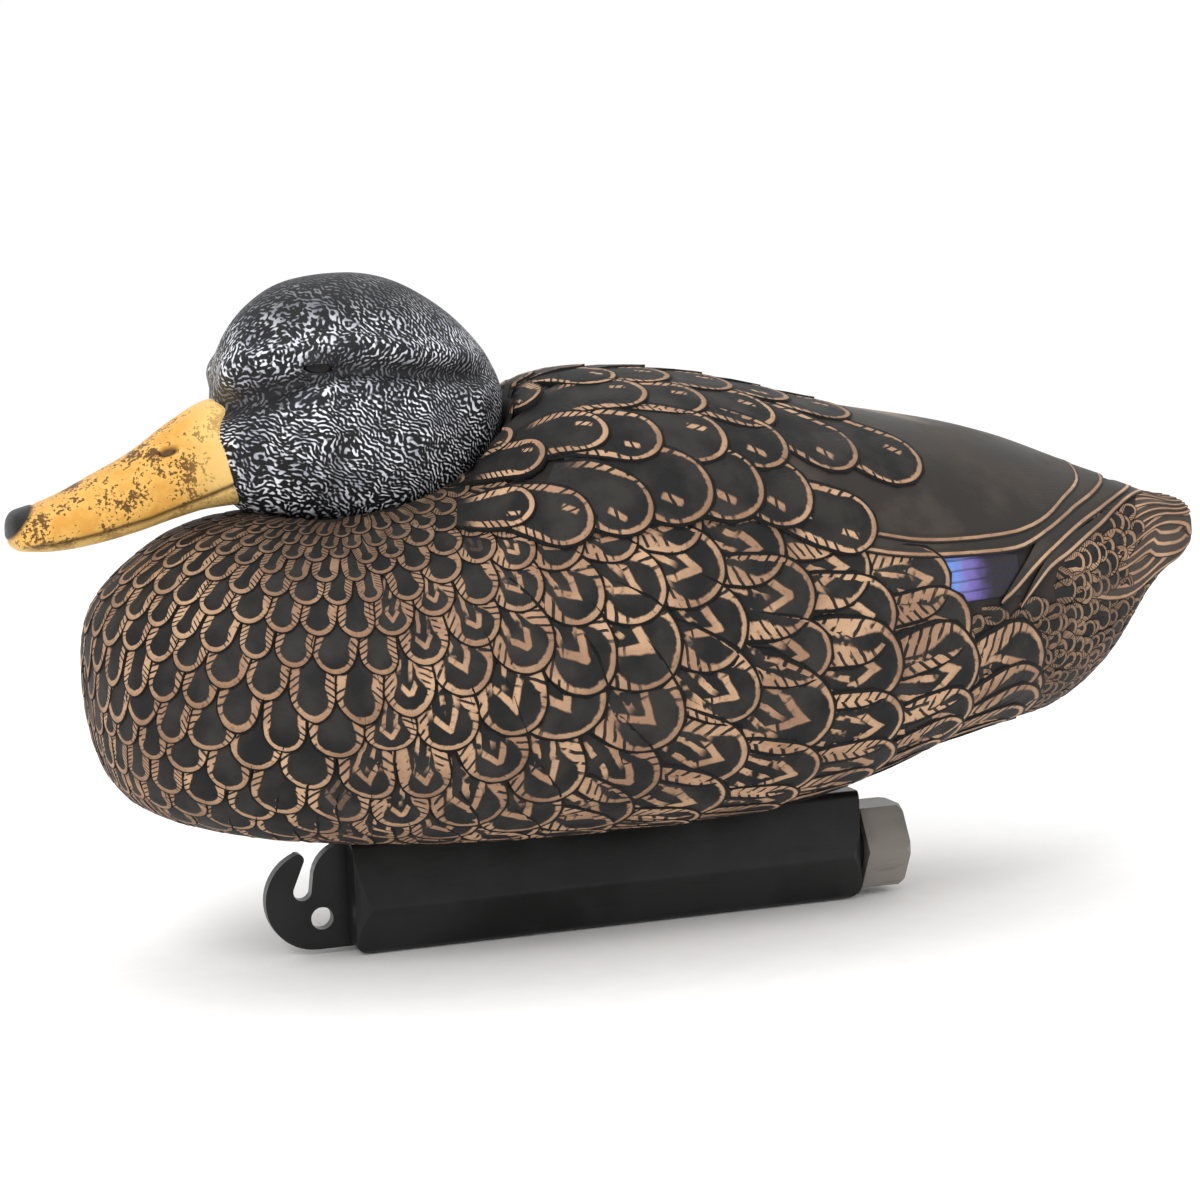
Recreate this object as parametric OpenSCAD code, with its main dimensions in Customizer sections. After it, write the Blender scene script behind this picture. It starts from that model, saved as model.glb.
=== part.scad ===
// Floating duck decoy: a hollow moulded duck at rest on a sand-filled keel.
// The head turns on a snap-in neck post, and a hexagonal screw cap closes the keel.
// The bill points towards -X, the duck's left side is -Y, +Z is up and the keel stands on z = 0.

/* [Body] */
// Length from the front of the breast to the tip of the tail
body_length = 402; // [396:1:408]
// Front of the breast
breast_x = -181; // [-184:1:-178]
// Scale of the body's width, where 1 is about 170 mm
width_scale = 1; // [0.9:0.05:1.1]
// Wall thickness of the moulded body
body_wall = 2.8; // [2.4:0.1:3.2]

/* [Head] */
// Distance of the neck's axis ahead of the middle of the duck
neck_ahead = 86; // [84:1:88]
// Lowest point of the round of the head
head_base = 147.5; // [147:0.5:149]
// Height of the round of the head
head_height = 86; // [84:1:88]
// Wall thickness of the moulded head
head_wall = 2.4; // [2:0.1:3]
// How far the head turns to each side, in degrees
head_turn = 25; // [15:1:30]
// Gap between the head and its seat in the back
seat_gap = 1; // [0.8:0.1:1.5]
// Radius of the eyes
eye_r = 5; // [4.5:0.1:5.5]

/* [Bill] */
// Length from the neck's axis to the tip of the bill
bill_reach = 118.5; // [114:0.5:121]
// Radius of the peg that plugs the bill into the head
bill_peg_r = 7; // [6:0.5:8]

/* [Neck] */
// Radius of the neck post's shaft
post_r = 12; // [11:0.5:13]
// Running clearance between the post and its socket, on the radius
post_clearance = 0.06; // [0.04:0.01:0.08]
// Radius of the self-tapping screws' shanks
screw_r = 2; // [1.8:0.1:2.2]

/* [Keel] */
// Length of the keel's hollow block
keel_length = 189; // [186:1:190]
// Front of the keel's hollow block
keel_front = -97; // [-98:1:-96]
// Height of the keel
keel_height = 39.5; // [38.5:0.5:40.5]
// Width of the keel at the ridge along its sides
keel_width = 38; // [34:1:42]
// Width of the keel's flat underside
keel_foot = 22; // [18:1:26]
// Wall thickness of the keel
keel_wall = 2.2; // [1.8:0.1:2.6]
// Places of the two keel screws along the keel
keel_screw_x = [-60, 46]; // [-62:1:48]
// Thickness of the line tab at the front of the keel
tab_thickness = 5; // [4:0.5:6]
// Radius of the anchor-line hole in the tab
anchor_hole_r = 3.9; // [3.5:0.1:4.2]

/* [Cap] */
// Width of the hexagonal cap across its flats
cap_flats = 29.5; // [28:0.5:29.5]
// Length of the cap
cap_length = 16.5; // [16:0.5:18]
// Radius of the threaded filling neck
filler_r = 11; // [10:0.5:11.5]

/* [Hidden] */
$fn = 64;

neck_x = -neck_ahead;
pad_z = head_base - 1;              // floor of the pocket that holds the neck socket
head_floor = head_base + 3;         // flat underside of the head
keel_rear = keel_front + keel_length;
ridge_z = 17;                       // height of the ridge along the keel's sides
filler_z = 17.5;                     // height of the filling neck's axis
filler_length = 11;
gasket_thickness = 1.6;
gasket_gap = 0.3;                   // end play on each side of the gasket
gasket_x = keel_rear + filler_length + gasket_gap;
cap_x = keel_rear + 1.6;            // open end of the cap
screw_head_r = 3.8;
screw_head_h = 2.8;
pocket_r = 6;                       // screwdriver pockets in the underside of the keel
pocket_wall = 2;
pocket_floor = 27;                  // height of the ledge that the keel screws pull on
washer_h = 1.2;
boss_r = 7.5;                       // screw bosses inside the body
boss_top = keel_height + 20;
vent = [112, 57];                   // x and z of the vent plug's seat
cut = 0.01;                         // overlap that keeps cuts clean

shell_black = [0.17, 0.16, 0.15];
keel_black = [0.1, 0.11, 0.11];
head_grey = [0.36, 0.37, 0.39];
bill_yellow = [0.86, 0.62, 0.27];
rubber_black = [0.06, 0.06, 0.06];
steel_grey = [0.72, 0.73, 0.74];
socket_grey = [0.25, 0.26, 0.27];
sand_tan = [0.74, 0.64, 0.46];

// ---- Curves and lofts -------------------------------------------------------------------------

// Slope of a curve through its knots [place, value], at knot i
function slope(k, i) =
    let (a = max(i - 1, 0), b = min(i + 1, len(k) - 1))
    (k[b][1] - k[a][1]) / (k[b][0] - k[a][0]);

// Value at t of the smooth cubic curve through knots [place, value]
function curve(k, t, i = 0) =
    i < len(k) - 2 && t > k[i + 1][0] ? curve(k, t, i + 1) :
    let (h = k[i + 1][0] - k[i][0], u = (t - k[i][0]) / h, v = 1 - u)
    k[i][1] * v * v * (1 + 2 * u) + k[i + 1][1] * u * u * (3 - 2 * u)
        + h * u * v * (slope(k, i) * v - slope(k, i + 1) * u);

// Share from 0 to 1 of the way along a rounded length, at s from 0 to 1
function eased(s) = (1 - cos(180 * s)) / 2;

// a to the power p, keeping the sign of a
function bent(a, p) = sign(a) * pow(abs(a), p);

// Closed skin over a list of rings with the same number of points, with a flat cap at each end
module skin(rings) {
    sides = len(rings[0]);
    last = len(rings) - 1;
    points = [for (ring = rings) each ring];
    walls = [
        for (i = [0:last - 1], j = [0:sides - 1])
            let (n = (j + 1) % sides, a = i * sides, b = a + sides)
            each [[a + j, b + j, b + n], [a + j, b + n, a + n]]
    ];
    caps = [
        [for (j = [0:sides - 1]) j],
        [for (j = [sides - 1:-1:0]) last * sides + j]
    ];
    polyhedron(points = points, faces = concat(walls, caps));
}

// ---- Body -------------------------------------------------------------------------------------

// Knots are [share s along the rounded length, height or half-width]
back_line = [
    [0, 108], [0.05, 123], [0.1, 133], [0.2, 151], [0.3, 157], [0.36, 166], [0.4, 181],
    [0.43, 192.5], [0.47, 195], [0.52, 192], [0.6, 180], [0.7, 168.5], [0.8, 152], [0.9, 139.5],
    [1, 137.5]
];
belly_line = [
    [0, 102], [0.05, 79], [0.1, 63], [0.2, 49.5], [0.3, 42], [0.4, 38], [0.5, 37.5], [0.55, 39.5],
    [0.6, 46], [0.65, 55], [0.7, 60.5], [0.75, 64.5], [0.8, 77], [0.86, 103], [0.93, 114], [1, 121]
];
side_line = [
    [0, 4], [0.05, 22], [0.1, 40], [0.2, 63], [0.3, 78], [0.4, 84.5], [0.5, 85], [0.6, 77],
    [0.7, 61], [0.8, 42], [0.9, 30], [1, 25]
];
belly_power = 0.8;                  // under 1 makes the cross-section fuller
back_power = 0.95;
waist = 0.44;                       // height of the widest line, as a share of the body's depth

// Cross-section of the body at share s, taken in by inset all round
function body_ring(s, inset, sides) =
    let (
        low = curve(belly_line, s) + inset,
        high = curve(back_line, s) - inset,
        half = curve(side_line, s) * width_scale - inset,
        mid = low + (high - low) * waist,
        x = breast_x + inset + (body_length - 2 * inset) * eased(s)
    )
    [
        for (j = [0:sides - 1])
            let (a = 360 * j / sides, p = sin(a) < 0 ? belly_power : back_power)
            [x, half * bent(cos(a), p), mid + bent(sin(a), p) * (sin(a) < 0 ? mid - low : high - mid)]
    ];

module body_loft(inset, stations, sides, s_first, s_last)
    skin([for (i = [0:stations]) body_ring(s_first + (s_last - s_first) * i / stations, inset, sides)]);

// Room that the head needs as it turns, grown by gap: each level is an ellipse, kept as wide as
// the turned head at every bearing
function seat_ring(s, gap, sides) =
    let (
        long = max(curve(head_front, s), curve(head_back, s)) + gap,
        wide = curve(head_side, s) + gap
    )
    [
        for (j = [0:sides - 1])
            let (
                a = 360 * j / sides,
                off_axis = min(a % 180, 180 - a % 180),
                b = max(off_axis - head_turn, 0),
                r = 1 / sqrt(pow(cos(b) / long, 2) + pow(sin(b) / wide, 2))
            )
            [neck_x + r * cos(a), r * sin(a), head_z(s) + gap * (2 * eased(s) - 1)]
    ];

module head_seat(gap)
    skin([for (i = [0:12]) seat_ring(0.06 + 0.62 * i / 12, gap, 32)]);

// The belly is flat where the keel lies against it
module below_keel()
    translate([keel_front - 60, -60, -1]) cube([keel_length + 120, 120, keel_height + 1]);

module body_cavity() {
    difference() {
        body_loft(body_wall, 18, 24, 0.06, 0.84);
        head_seat(seat_gap + body_wall);
        translate([neck_x, 0, pad_z - 3.5]) cylinder(r = post_r + 12, h = 40);
        translate([keel_front, -60, 0]) cube([keel_length, 120, keel_height + body_wall]);
        for (x = keel_screw_x)
            translate([x, 0, 0]) cylinder(r = boss_r, h = boss_top);
        translate([vent.x, 0, 0]) cylinder(r = 8, h = vent.y + 5);
    }
}

module body_shell() {
    color(shell_black)
    difference() {
        body_loft(0, 40, 36, 0, 1);
        body_cavity();
        head_seat(seat_gap);
        below_keel();
        translate([neck_x, 0, pad_z]) cylinder(r = post_r + 8, h = 20);
        translate([neck_x, 0, pad_z - 10]) cylinder(r = post_r + 4, h = 20);
        for (x = keel_screw_x)
            translate([x, 0, keel_height - 1]) cylinder(r = screw_r, h = 16);
        translate([vent.x, 0, vent.y - 20]) cylinder(r = 6.1, h = 20);
        translate([vent.x, 0, vent.y - 1]) cylinder(r = 3, h = 10);
    }
}

// Barbed plug that closes the moulding's air hole
module vent_plug() {
    color(rubber_black)
    translate([vent.x, 0, vent.y]) {
        translate([0, 0, -2]) cylinder(r = 6, h = 2);
        cylinder(r = 2.95, h = 5);
        translate([0, 0, 5]) cylinder(r1 = 4, r2 = 2.4, h = 3);
    }
}

// ---- Keel -------------------------------------------------------------------------------------

// Corner points of a convex outline, each corner rounded to radius r by a 5-step arc.
// The outline runs anticlockwise
function rounded(outline, r) =
    let (n = len(outline))
    [
        for (i = [0:n - 1])
            let (
                p = outline[i],
                a = outline[(i + n - 1) % n] - p,
                b = outline[(i + 1) % n] - p,
                ua = a / norm(a),
                ub = b / norm(b),
                half = acos(ua * ub) / 2,
                centre = p + (ua + ub) / norm(ua + ub) * (r / sin(half)),
                from = atan2(ua.x, -ua.y),
                sweep = 180 - 2 * half
            )
            for (k = [0:5])
                centre + r * [cos(from + sweep * k / 5), sin(from + sweep * k / 5)]
    ];

function keel_section(inset) = rounded([
    [-keel_foot / 2 + inset * 0.7, inset],
    [keel_foot / 2 - inset * 0.7, inset],
    [keel_width / 2 - inset, ridge_z],
    [keel_foot / 2 + 1 - inset * 0.7, keel_height - inset],
    [-keel_foot / 2 - 1 + inset * 0.7, keel_height - inset],
    [-keel_width / 2 + inset, ridge_z]
], 3);

function box_outline(a, b, c, d) = [[a, c], [b, c], [b, d], [a, d]];

// The hollow block: its cross-section, its side view and its plan, met together.
// The side view and the cross-section stand a little proud, so that the plan alone sets the ends
module keel_block(inset) {
    front = keel_front + inset;
    rear = keel_rear - inset;
    half = keel_width / 2 + 1;
    proud = 0.4;
    side_view = box_outline(front - proud, rear + proud, inset - proud, keel_height + 20);
    intersection() {
        translate([front - 1, 0, 0]) rotate([90, 0, 90])
            linear_extrude(rear - front + 2) polygon(keel_section(inset));
        translate([0, half, 0]) rotate([90, 0, 0])
            linear_extrude(2 * half) polygon(rounded(side_view, 7));
        translate([0, 0, -1]) linear_extrude(keel_height + 5)
            polygon(rounded(box_outline(front, rear, -half, half), 10));
    }
}

// Points along an arc about centre c, from angle a0 to a1 in n steps
function arc(c, r, a0, a1, n) =
    [for (k = [0:n]) c + r * [cos(a0 + (a1 - a0) * k / n), sin(a0 + (a1 - a0) * k / n)]];

// The line tab in side view, as [x, z]: a disc with a hook cut into its front edge
module tab_outline() {
    disc = [-108, 19];
    disc_r = 17.5;
    horn = [-113.6, 33.4];
    horn_r = 2.2;
    slot = [-112.5, 22.3];
    slot_r = 3.2;
    shoulder = [-96, 25.5];
    shoulder_r = 12.8;
    rear_x = keel_front + 3;
    polygon(concat(
        [[rear_x, disc.y - disc_r]],
        arc(disc, disc_r, 270, 111, 24),
        arc(horn, horn_r, 110, -18, 8),
        arc(slot, slot_r, 162, 342, 14),
        arc(shoulder, shoulder_r, 178, 90, 8),
        [[rear_x, shoulder.y + shoulder_r]]
    ));
}

module line_tab() {
    translate([0, tab_thickness / 2, 0]) rotate([90, 0, 0])
        linear_extrude(tab_thickness) tab_outline();
}

module keel_shell() {
    color(keel_black)
    difference() {
        union() {
            keel_block(0);
            line_tab();
            translate([keel_rear - 6, 0, filler_z]) rotate([0, 90, 0])
                cylinder(r = filler_r, h = 6 + filler_length);
        }
        difference() {
            keel_block(keel_wall);
            for (x = keel_screw_x)
                translate([x, 0, 0]) cylinder(r = pocket_r + pocket_wall, h = keel_height);
        }
        for (x = keel_screw_x) translate([x, 0, 0]) {
            translate([0, 0, -1]) cylinder(r = pocket_r, h = pocket_floor + 1);
            cylinder(r = screw_r + 0.3, h = keel_height + 1);
        }
        translate([keel_rear - 12, 0, filler_z]) rotate([0, 90, 0])
            cylinder(r = filler_r - 2, h = 12 + filler_length + 1);
        translate([-106, 10, 12.3]) rotate([90, 0, 0]) cylinder(r = anchor_hole_r, h = 20);
    }
}

// Sand poured in through the filling neck, up to the fill line
module sand_ballast() {
    fill_z = 25;
    gap = 0.1;
    color(sand_tan)
    difference() {
        intersection() {
            keel_block(keel_wall + gap);
            translate([keel_front, -30, 0]) cube([keel_length, 60, fill_z]);
        }
        for (x = keel_screw_x)
            translate([x, 0, -1]) cylinder(r = pocket_r + pocket_wall + gap, h = keel_height);
    }
}

// Pan-head screw pointing up, with its head's bearing face at the origin
module pan_screw(length) {
    difference() {
        translate([0, 0, -screw_head_h]) cylinder(r = screw_head_r, h = screw_head_h);
        translate([-2.4, -0.5, -screw_head_h - 1]) cube([4.8, 1, 2.4]);
        translate([-0.5, -2.4, -screw_head_h - 1]) cube([1, 4.8, 2.4]);
    }
    translate([0, 0, -cut]) cylinder(r = screw_r - 0.02, h = length - 2 + cut);
    translate([0, 0, length - 2]) cylinder(r1 = screw_r - 0.02, r2 = 0.5, h = 2);
}

module keel_screws() {
    color(steel_grey)
    for (x = keel_screw_x)
        translate([x, 0, pocket_floor - washer_h]) pan_screw(24);
}

module keel_washers() {
    color(rubber_black)
    for (x = keel_screw_x)
        translate([x, 0, pocket_floor - washer_h])
        difference() {
            cylinder(r = 5, h = washer_h);
            translate([0, 0, -1]) cylinder(r = screw_r + 0.2, h = washer_h + 2);
        }
}

// ---- Cap --------------------------------------------------------------------------------------

module cap_gasket() {
    color(rubber_black)
    translate([gasket_x, 0, filler_z]) rotate([0, 90, 0])
    difference() {
        cylinder(r = filler_r, h = gasket_thickness);
        translate([0, 0, -1]) cylinder(r = filler_r - 3.5, h = gasket_thickness + 2);
    }
}

module keel_cap() {
    across = cap_flats / 2 / cos(30);
    floor_x = gasket_x + gasket_thickness + gasket_gap;
    color(keel_black)
    difference() {
        intersection() {
            translate([cap_x, 0, filler_z]) rotate([0, 90, 0]) rotate(30)
                cylinder(r = across, h = cap_length, $fn = 6);
            translate([cap_x, 0, filler_z]) rotate([0, 90, 0])
                cylinder(r1 = across + 9, r2 = across - 1.2, h = cap_length);
        }
        translate([cap_x - 1, 0, filler_z]) rotate([0, 90, 0])
            cylinder(r = filler_r + 0.4, h = floor_x - cap_x + 1);
    }
}

// ---- Head -------------------------------------------------------------------------------------

// Knots are [share s up the rounded height, distance from the neck's axis]
head_front = [
    [0, 2], [0.05, 13], [0.1, 22.5], [0.2, 34], [0.3, 41.4], [0.4, 45.3], [0.5, 48.3], [0.6, 47],
    [0.7, 41.6], [0.8, 32.6], [0.9, 20.8], [1, 3]
];
head_back = [
    [0, 2], [0.05, 15], [0.1, 26], [0.2, 36.7], [0.3, 44.7], [0.4, 50.3], [0.5, 51.8], [0.6, 46.6],
    [0.7, 36.9], [0.8, 24.7], [0.9, 12], [1, -2]
];
head_side = [
    [0, 2], [0.05, 12], [0.1, 20.5], [0.2, 30], [0.3, 36.5], [0.4, 40], [0.5, 40.5], [0.6, 38],
    [0.7, 32.5], [0.8, 24.5], [0.9, 14], [1, 1.5]
];

function head_z(s) = head_base + head_height * eased(s);

function head_ring(s, inset, sides) =
    let (
        long = (curve(head_front, s) + curve(head_back, s)) / 2 - inset,
        wide = curve(head_side, s) - inset,
        x = neck_x + (curve(head_back, s) - curve(head_front, s)) / 2,
        z = head_z(s) + inset * (1 - 2 * eased(s))
    )
    [for (j = [0:sides - 1]) [x + long * cos(360 * j / sides), wide * sin(360 * j / sides), z]];

module head_loft(inset, levels, sides, s_first, s_last)
    skin([for (i = [0:levels]) head_ring(s_first + (s_last - s_first) * i / levels, inset, sides)]);

module above_head_floor(z)
    translate([neck_x - 80, -60, z]) cube([160, 120, 120]);

// The left eye's place on the head; the right eye mirrors it
eye_at = [neck_x - 18.5, -31.8, 203];

module eye_ball(grow)
    translate(eye_at) sphere(r = eye_r + grow);

module left_eye() {
    color([0.16, 0.08, 0.04]) eye_ball(0);
}

module right_eye() {
    color([0.16, 0.08, 0.04]) mirror([0, 1, 0]) eye_ball(0);
}

module bill_peg(grow)
    translate([neck_x - 56, 0, 174]) rotate([0, 90, 0])
        cylinder(r = bill_peg_r + grow, h = 20);

module head_shell() {
    color(head_grey)
    difference() {
        intersection() {
            head_loft(0, 28, 32, 0.02, 0.98);
            above_head_floor(head_floor);
        }
        difference() {
            head_loft(head_wall, 14, 24, 0.06, 0.93);
            translate([neck_x, 0, head_base]) cylinder(r = 7, h = 24);
            translate([neck_x - 80, -60, 0]) cube([160, 120, head_floor + 3]);
        }
        translate([neck_x, 0, head_floor - 1]) cylinder(r = screw_r, h = 18);
        eye_ball(0.05);
        mirror([0, 1, 0]) eye_ball(0.05);
        bill_peg(0.05);
    }
}

// Knots are [share s along the rounded length from the root, height or half-width]
bill_top = [
    [0, 193.5], [0.1, 193.6], [0.2, 193.6], [0.3, 192.5], [0.4, 186], [0.5, 177], [0.6, 170.3],
    [0.7, 164.5], [0.8, 161], [0.9, 159], [1, 154.5]
];
bill_bottom = [
    [0, 158], [0.3, 156.6], [0.4, 154], [0.5, 150.3], [0.6, 147.4], [0.7, 145.9], [0.8, 146],
    [0.9, 147], [1, 150.5]
];
bill_side = [
    [0, 17], [0.3, 15.5], [0.5, 14.8], [0.7, 16.5], [0.8, 17], [0.9, 13], [1, 2]
];
bill_root_x = neck_x - 34;

function bill_ring(s, sides) =
    let (
        low = curve(bill_bottom, s),
        high = curve(bill_top, s),
        half = curve(bill_side, s),
        mid = low + (high - low) * 0.42,
        x = bill_root_x - (bill_reach - 34) * eased(s)
    )
    [
        for (j = [0:sides - 1])
            let (a = -360 * j / sides, p = sin(a) < 0 ? 0.75 : 0.9)
            [x, half * bent(cos(a), p), mid + bent(sin(a), p) * (sin(a) < 0 ? mid - low : high - mid)]
    ];

module bill() {
    color(bill_yellow) {
        difference() {
            skin([for (i = [0:22]) bill_ring(i / 22, 20)]);
            head_loft(-0.05, 28, 32, 0.02, 0.98);
        }
        bill_peg(0);
    }
}

// ---- Neck -------------------------------------------------------------------------------------

groove_z = pad_z - 14;              // middle of the groove that the post snaps into
groove_half = 2.2;
snap_lip = 1.6;

// Closed cup in the floor of the head's seat, so that no water gets in past the post
module neck_socket() {
    bore_r = post_r + post_clearance;
    color(socket_grey)
    translate([neck_x, 0, 0])
    difference() {
        union() {
            translate([0, 0, pad_z]) cylinder(r = post_r + 7.5, h = 1.5);
            translate([0, 0, pad_z - 22]) cylinder(r = post_r + 4, h = 22 + cut);
        }
        translate([0, 0, pad_z - 19.5]) cylinder(r = bore_r, h = 30);
        translate([0, 0, groove_z - groove_half]) cylinder(r = bore_r + snap_lip, h = 2 * groove_half);
    }
}

// Snap-in post: its slotted end closes up as it is pushed in, then springs into the groove
module neck_post() {
    flange_z = pad_z + 2.7;
    tip_z = groove_z - 3.5;
    color(socket_grey)
    translate([neck_x, 0, 0])
    difference() {
        union() {
            translate([0, 0, flange_z]) cylinder(r = post_r + 5, h = head_floor - flange_z);
            translate([0, 0, tip_z]) cylinder(r = post_r, h = flange_z - tip_z + cut);
            translate([0, 0, groove_z - 1.8]) cylinder(r1 = post_r, r2 = post_r + snap_lip - 0.3, h = 2.2);
            translate([0, 0, groove_z + 0.4 - cut]) cylinder(r = post_r + snap_lip - 0.3, h = 1.4);
        }
        translate([0, 0, tip_z - 1]) cylinder(r = post_r - 3, h = head_floor - 3.5 - tip_z + 1);
        translate([0, 0, tip_z]) cylinder(r = screw_r + 0.3, h = 40);
        for (a = [0, 90])
            rotate(a) translate([-20, -1, tip_z - 1]) cube([40, 2, 12]);
    }
}

module neck_screw() {
    color(steel_grey)
    translate([neck_x, 0, head_floor - 3.5]) pan_screw(16);
}

// Rubber ring that the head's flange rubs on, so that the head stays where it is turned
module friction_ring() {
    color(rubber_black)
    translate([neck_x, 0, pad_z + 1.5])
    difference() {
        cylinder(r = post_r + 4.5, h = 0.9);
        translate([0, 0, -1]) cylinder(r = post_r + 0.3, h = 3);
    }
}

body_shell();
neck_socket();
vent_plug();
keel_shell();
sand_ballast();
keel_screws();
keel_washers();
cap_gasket();
keel_cap();
head_shell();
bill();
left_eye();
right_eye();
neck_post();
neck_screw();
friction_ring();
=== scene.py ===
import math

import bpy
import numpy as np
from mathutils import Matrix, Vector


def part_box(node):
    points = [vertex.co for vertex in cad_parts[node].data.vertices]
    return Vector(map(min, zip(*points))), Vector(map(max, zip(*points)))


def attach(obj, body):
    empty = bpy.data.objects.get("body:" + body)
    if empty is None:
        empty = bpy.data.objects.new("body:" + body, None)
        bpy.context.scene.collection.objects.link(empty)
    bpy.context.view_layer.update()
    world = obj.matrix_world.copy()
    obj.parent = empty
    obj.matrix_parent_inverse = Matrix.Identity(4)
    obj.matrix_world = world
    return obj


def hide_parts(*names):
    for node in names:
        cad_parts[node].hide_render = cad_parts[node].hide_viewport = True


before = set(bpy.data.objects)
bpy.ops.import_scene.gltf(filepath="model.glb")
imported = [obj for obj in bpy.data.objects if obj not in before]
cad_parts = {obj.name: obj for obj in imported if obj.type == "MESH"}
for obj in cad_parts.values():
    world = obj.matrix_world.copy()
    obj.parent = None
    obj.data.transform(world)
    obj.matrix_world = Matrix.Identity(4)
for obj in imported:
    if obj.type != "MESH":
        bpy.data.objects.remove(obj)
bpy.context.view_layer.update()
rng = np.random.default_rng(11)
MM = 0.001

# ---- Camera -----------------------------------------------------------------------------------

AZIMUTH, ELEVATION, ROLL = math.radians(-18), math.radians(7), math.radians(2.2)
LOOK_AT = Vector((0, 0, 0.115))
DISTANCE = 1.0
SENSOR, LENS = 36, 84.9
level = math.cos(ELEVATION)
back = Vector((math.sin(AZIMUTH) * level, -math.cos(AZIMUTH) * level, math.sin(ELEVATION)))
right = Vector((math.cos(AZIMUTH), math.sin(AZIMUTH), 0))
up = back.cross(right)
camera_data = bpy.data.cameras.new("camera")
camera_data.sensor_width = SENSOR
camera_data.lens = LENS
camera = bpy.data.objects.new("camera", camera_data)
turned = Matrix((right, up, back)).transposed().to_4x4() @ Matrix.Rotation(-ROLL, 4, "Z")
camera.matrix_world = Matrix.Translation(LOOK_AT + back * DISTANCE) @ turned
bpy.context.scene.collection.objects.link(camera)
bpy.context.scene.camera = camera

# ---- Floor and light --------------------------------------------------------------------------

FLOOR_REACH, FLOOR_Z = 6, -0.0005
LIT_POINT = (0, 0, 0.1)
# Each lamp's place, size in metres and power in watts
LAMPS = {
    "key": ((-0.9, -1.1, 1.3), 0.7, 13),
    "fill": ((1.4, -1.2, 0.7), 1.2, 2.5),
    "top": ((0.1, 0.4, 1.7), 1.4, 5)}
WORLD_STRENGTH = 1.03

floor_mesh = bpy.data.meshes.new("floor")
around = ((-1, -1), (1, -1), (1, 1), (-1, 1))
floor_mesh.from_pydata([(x * FLOOR_REACH, y * FLOOR_REACH, FLOOR_Z) for x, y in around], [], [(0, 1, 2, 3)])
floor = bpy.data.objects.new("floor", floor_mesh)
bpy.context.scene.collection.objects.link(floor)
for name, (place, size, power) in LAMPS.items():
    light = bpy.data.lights.new(name, "AREA")
    light.size = size
    light.energy = power
    lamp = bpy.data.objects.new(name, light)
    lamp.location = place
    lamp.rotation_euler = (Vector(LIT_POINT) - Vector(place)).to_track_quat("-Z", "Y").to_euler()
    bpy.context.scene.collection.objects.link(lamp)
world = bpy.data.worlds.new("world")
bpy.context.scene.world = world
world.use_nodes = True
world.node_tree.nodes["Background"].inputs["Color"].default_value = (1, 1, 1, 1)
world.node_tree.nodes["Background"].inputs["Strength"].default_value = WORLD_STRENGTH
bpy.context.scene.view_settings.view_transform = "Standard"

# ---- Curves and surfaces, all in millimetres --------------------------------------------------

body_lo, body_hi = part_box("body_shell")
post_lo, post_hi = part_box("neck_post")
BREAST_X = body_lo.x / MM
BODY_LENGTH = (body_hi.x - body_lo.x) / MM
NECK_X = (post_lo.x + post_hi.x) / 2 / MM
HEAD_BASE = 147.5
HEAD_HEIGHT = 86.0
HEAD_TURN = 25.0
# Height of the section's widest level, as a share of the section's height
BODY_MID = 0.44
BILL_MID = 0.42

BACK_LINE = [
    (0, 108), (0.05, 123), (0.1, 133), (0.2, 151), (0.3, 157), (0.36, 166), (0.4, 181),
    (0.43, 192.5), (0.47, 195), (0.52, 192), (0.6, 180), (0.7, 168.5), (0.8, 152), (0.9, 139.5), (1, 137.5)]
BELLY_LINE = [
    (0, 102), (0.05, 79), (0.1, 63), (0.2, 49.5), (0.3, 42), (0.4, 38), (0.5, 37.5), (0.55, 39.5),
    (0.6, 46), (0.65, 55), (0.7, 60.5), (0.75, 64.5), (0.8, 77), (0.86, 103), (0.93, 114), (1, 121)]
SIDE_LINE = [
    (0, 4), (0.05, 22), (0.1, 40), (0.2, 63), (0.3, 78), (0.4, 84.5), (0.5, 85), (0.6, 77),
    (0.7, 61), (0.8, 42), (0.9, 30), (1, 25)]
HEAD_FRONT = [
    (0, 2), (0.05, 13), (0.1, 22.5), (0.2, 34), (0.3, 41.4), (0.4, 45.3), (0.5, 48.3), (0.6, 47),
    (0.7, 41.6), (0.8, 32.6), (0.9, 20.8), (1, 3)]
HEAD_BACK = [
    (0, 2), (0.05, 15), (0.1, 26), (0.2, 36.7), (0.3, 44.7), (0.4, 50.3), (0.5, 51.8), (0.6, 46.6),
    (0.7, 36.9), (0.8, 24.7), (0.9, 12), (1, -2)]
HEAD_SIDE = [
    (0, 2), (0.05, 12), (0.1, 20.5), (0.2, 30), (0.3, 36.5), (0.4, 40), (0.5, 40.5), (0.6, 38),
    (0.7, 32.5), (0.8, 24.5), (0.9, 14), (1, 1.5)]
BILL_TOP = [
    (0, 193.5), (0.1, 193.6), (0.2, 193.6), (0.3, 192.5), (0.4, 186), (0.5, 177), (0.6, 170.3),
    (0.7, 164.5), (0.8, 161), (0.9, 159), (1, 154.5)]
BILL_BOTTOM = [
    (0, 158), (0.3, 156.6), (0.4, 154), (0.5, 150.3), (0.6, 147.4), (0.7, 145.9), (0.8, 146),
    (0.9, 147), (1, 150.5)]
BILL_SIDE = [(0, 17), (0.3, 15.5), (0.5, 14.8), (0.7, 16.5), (0.8, 17), (0.9, 13), (1, 2)]


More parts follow.
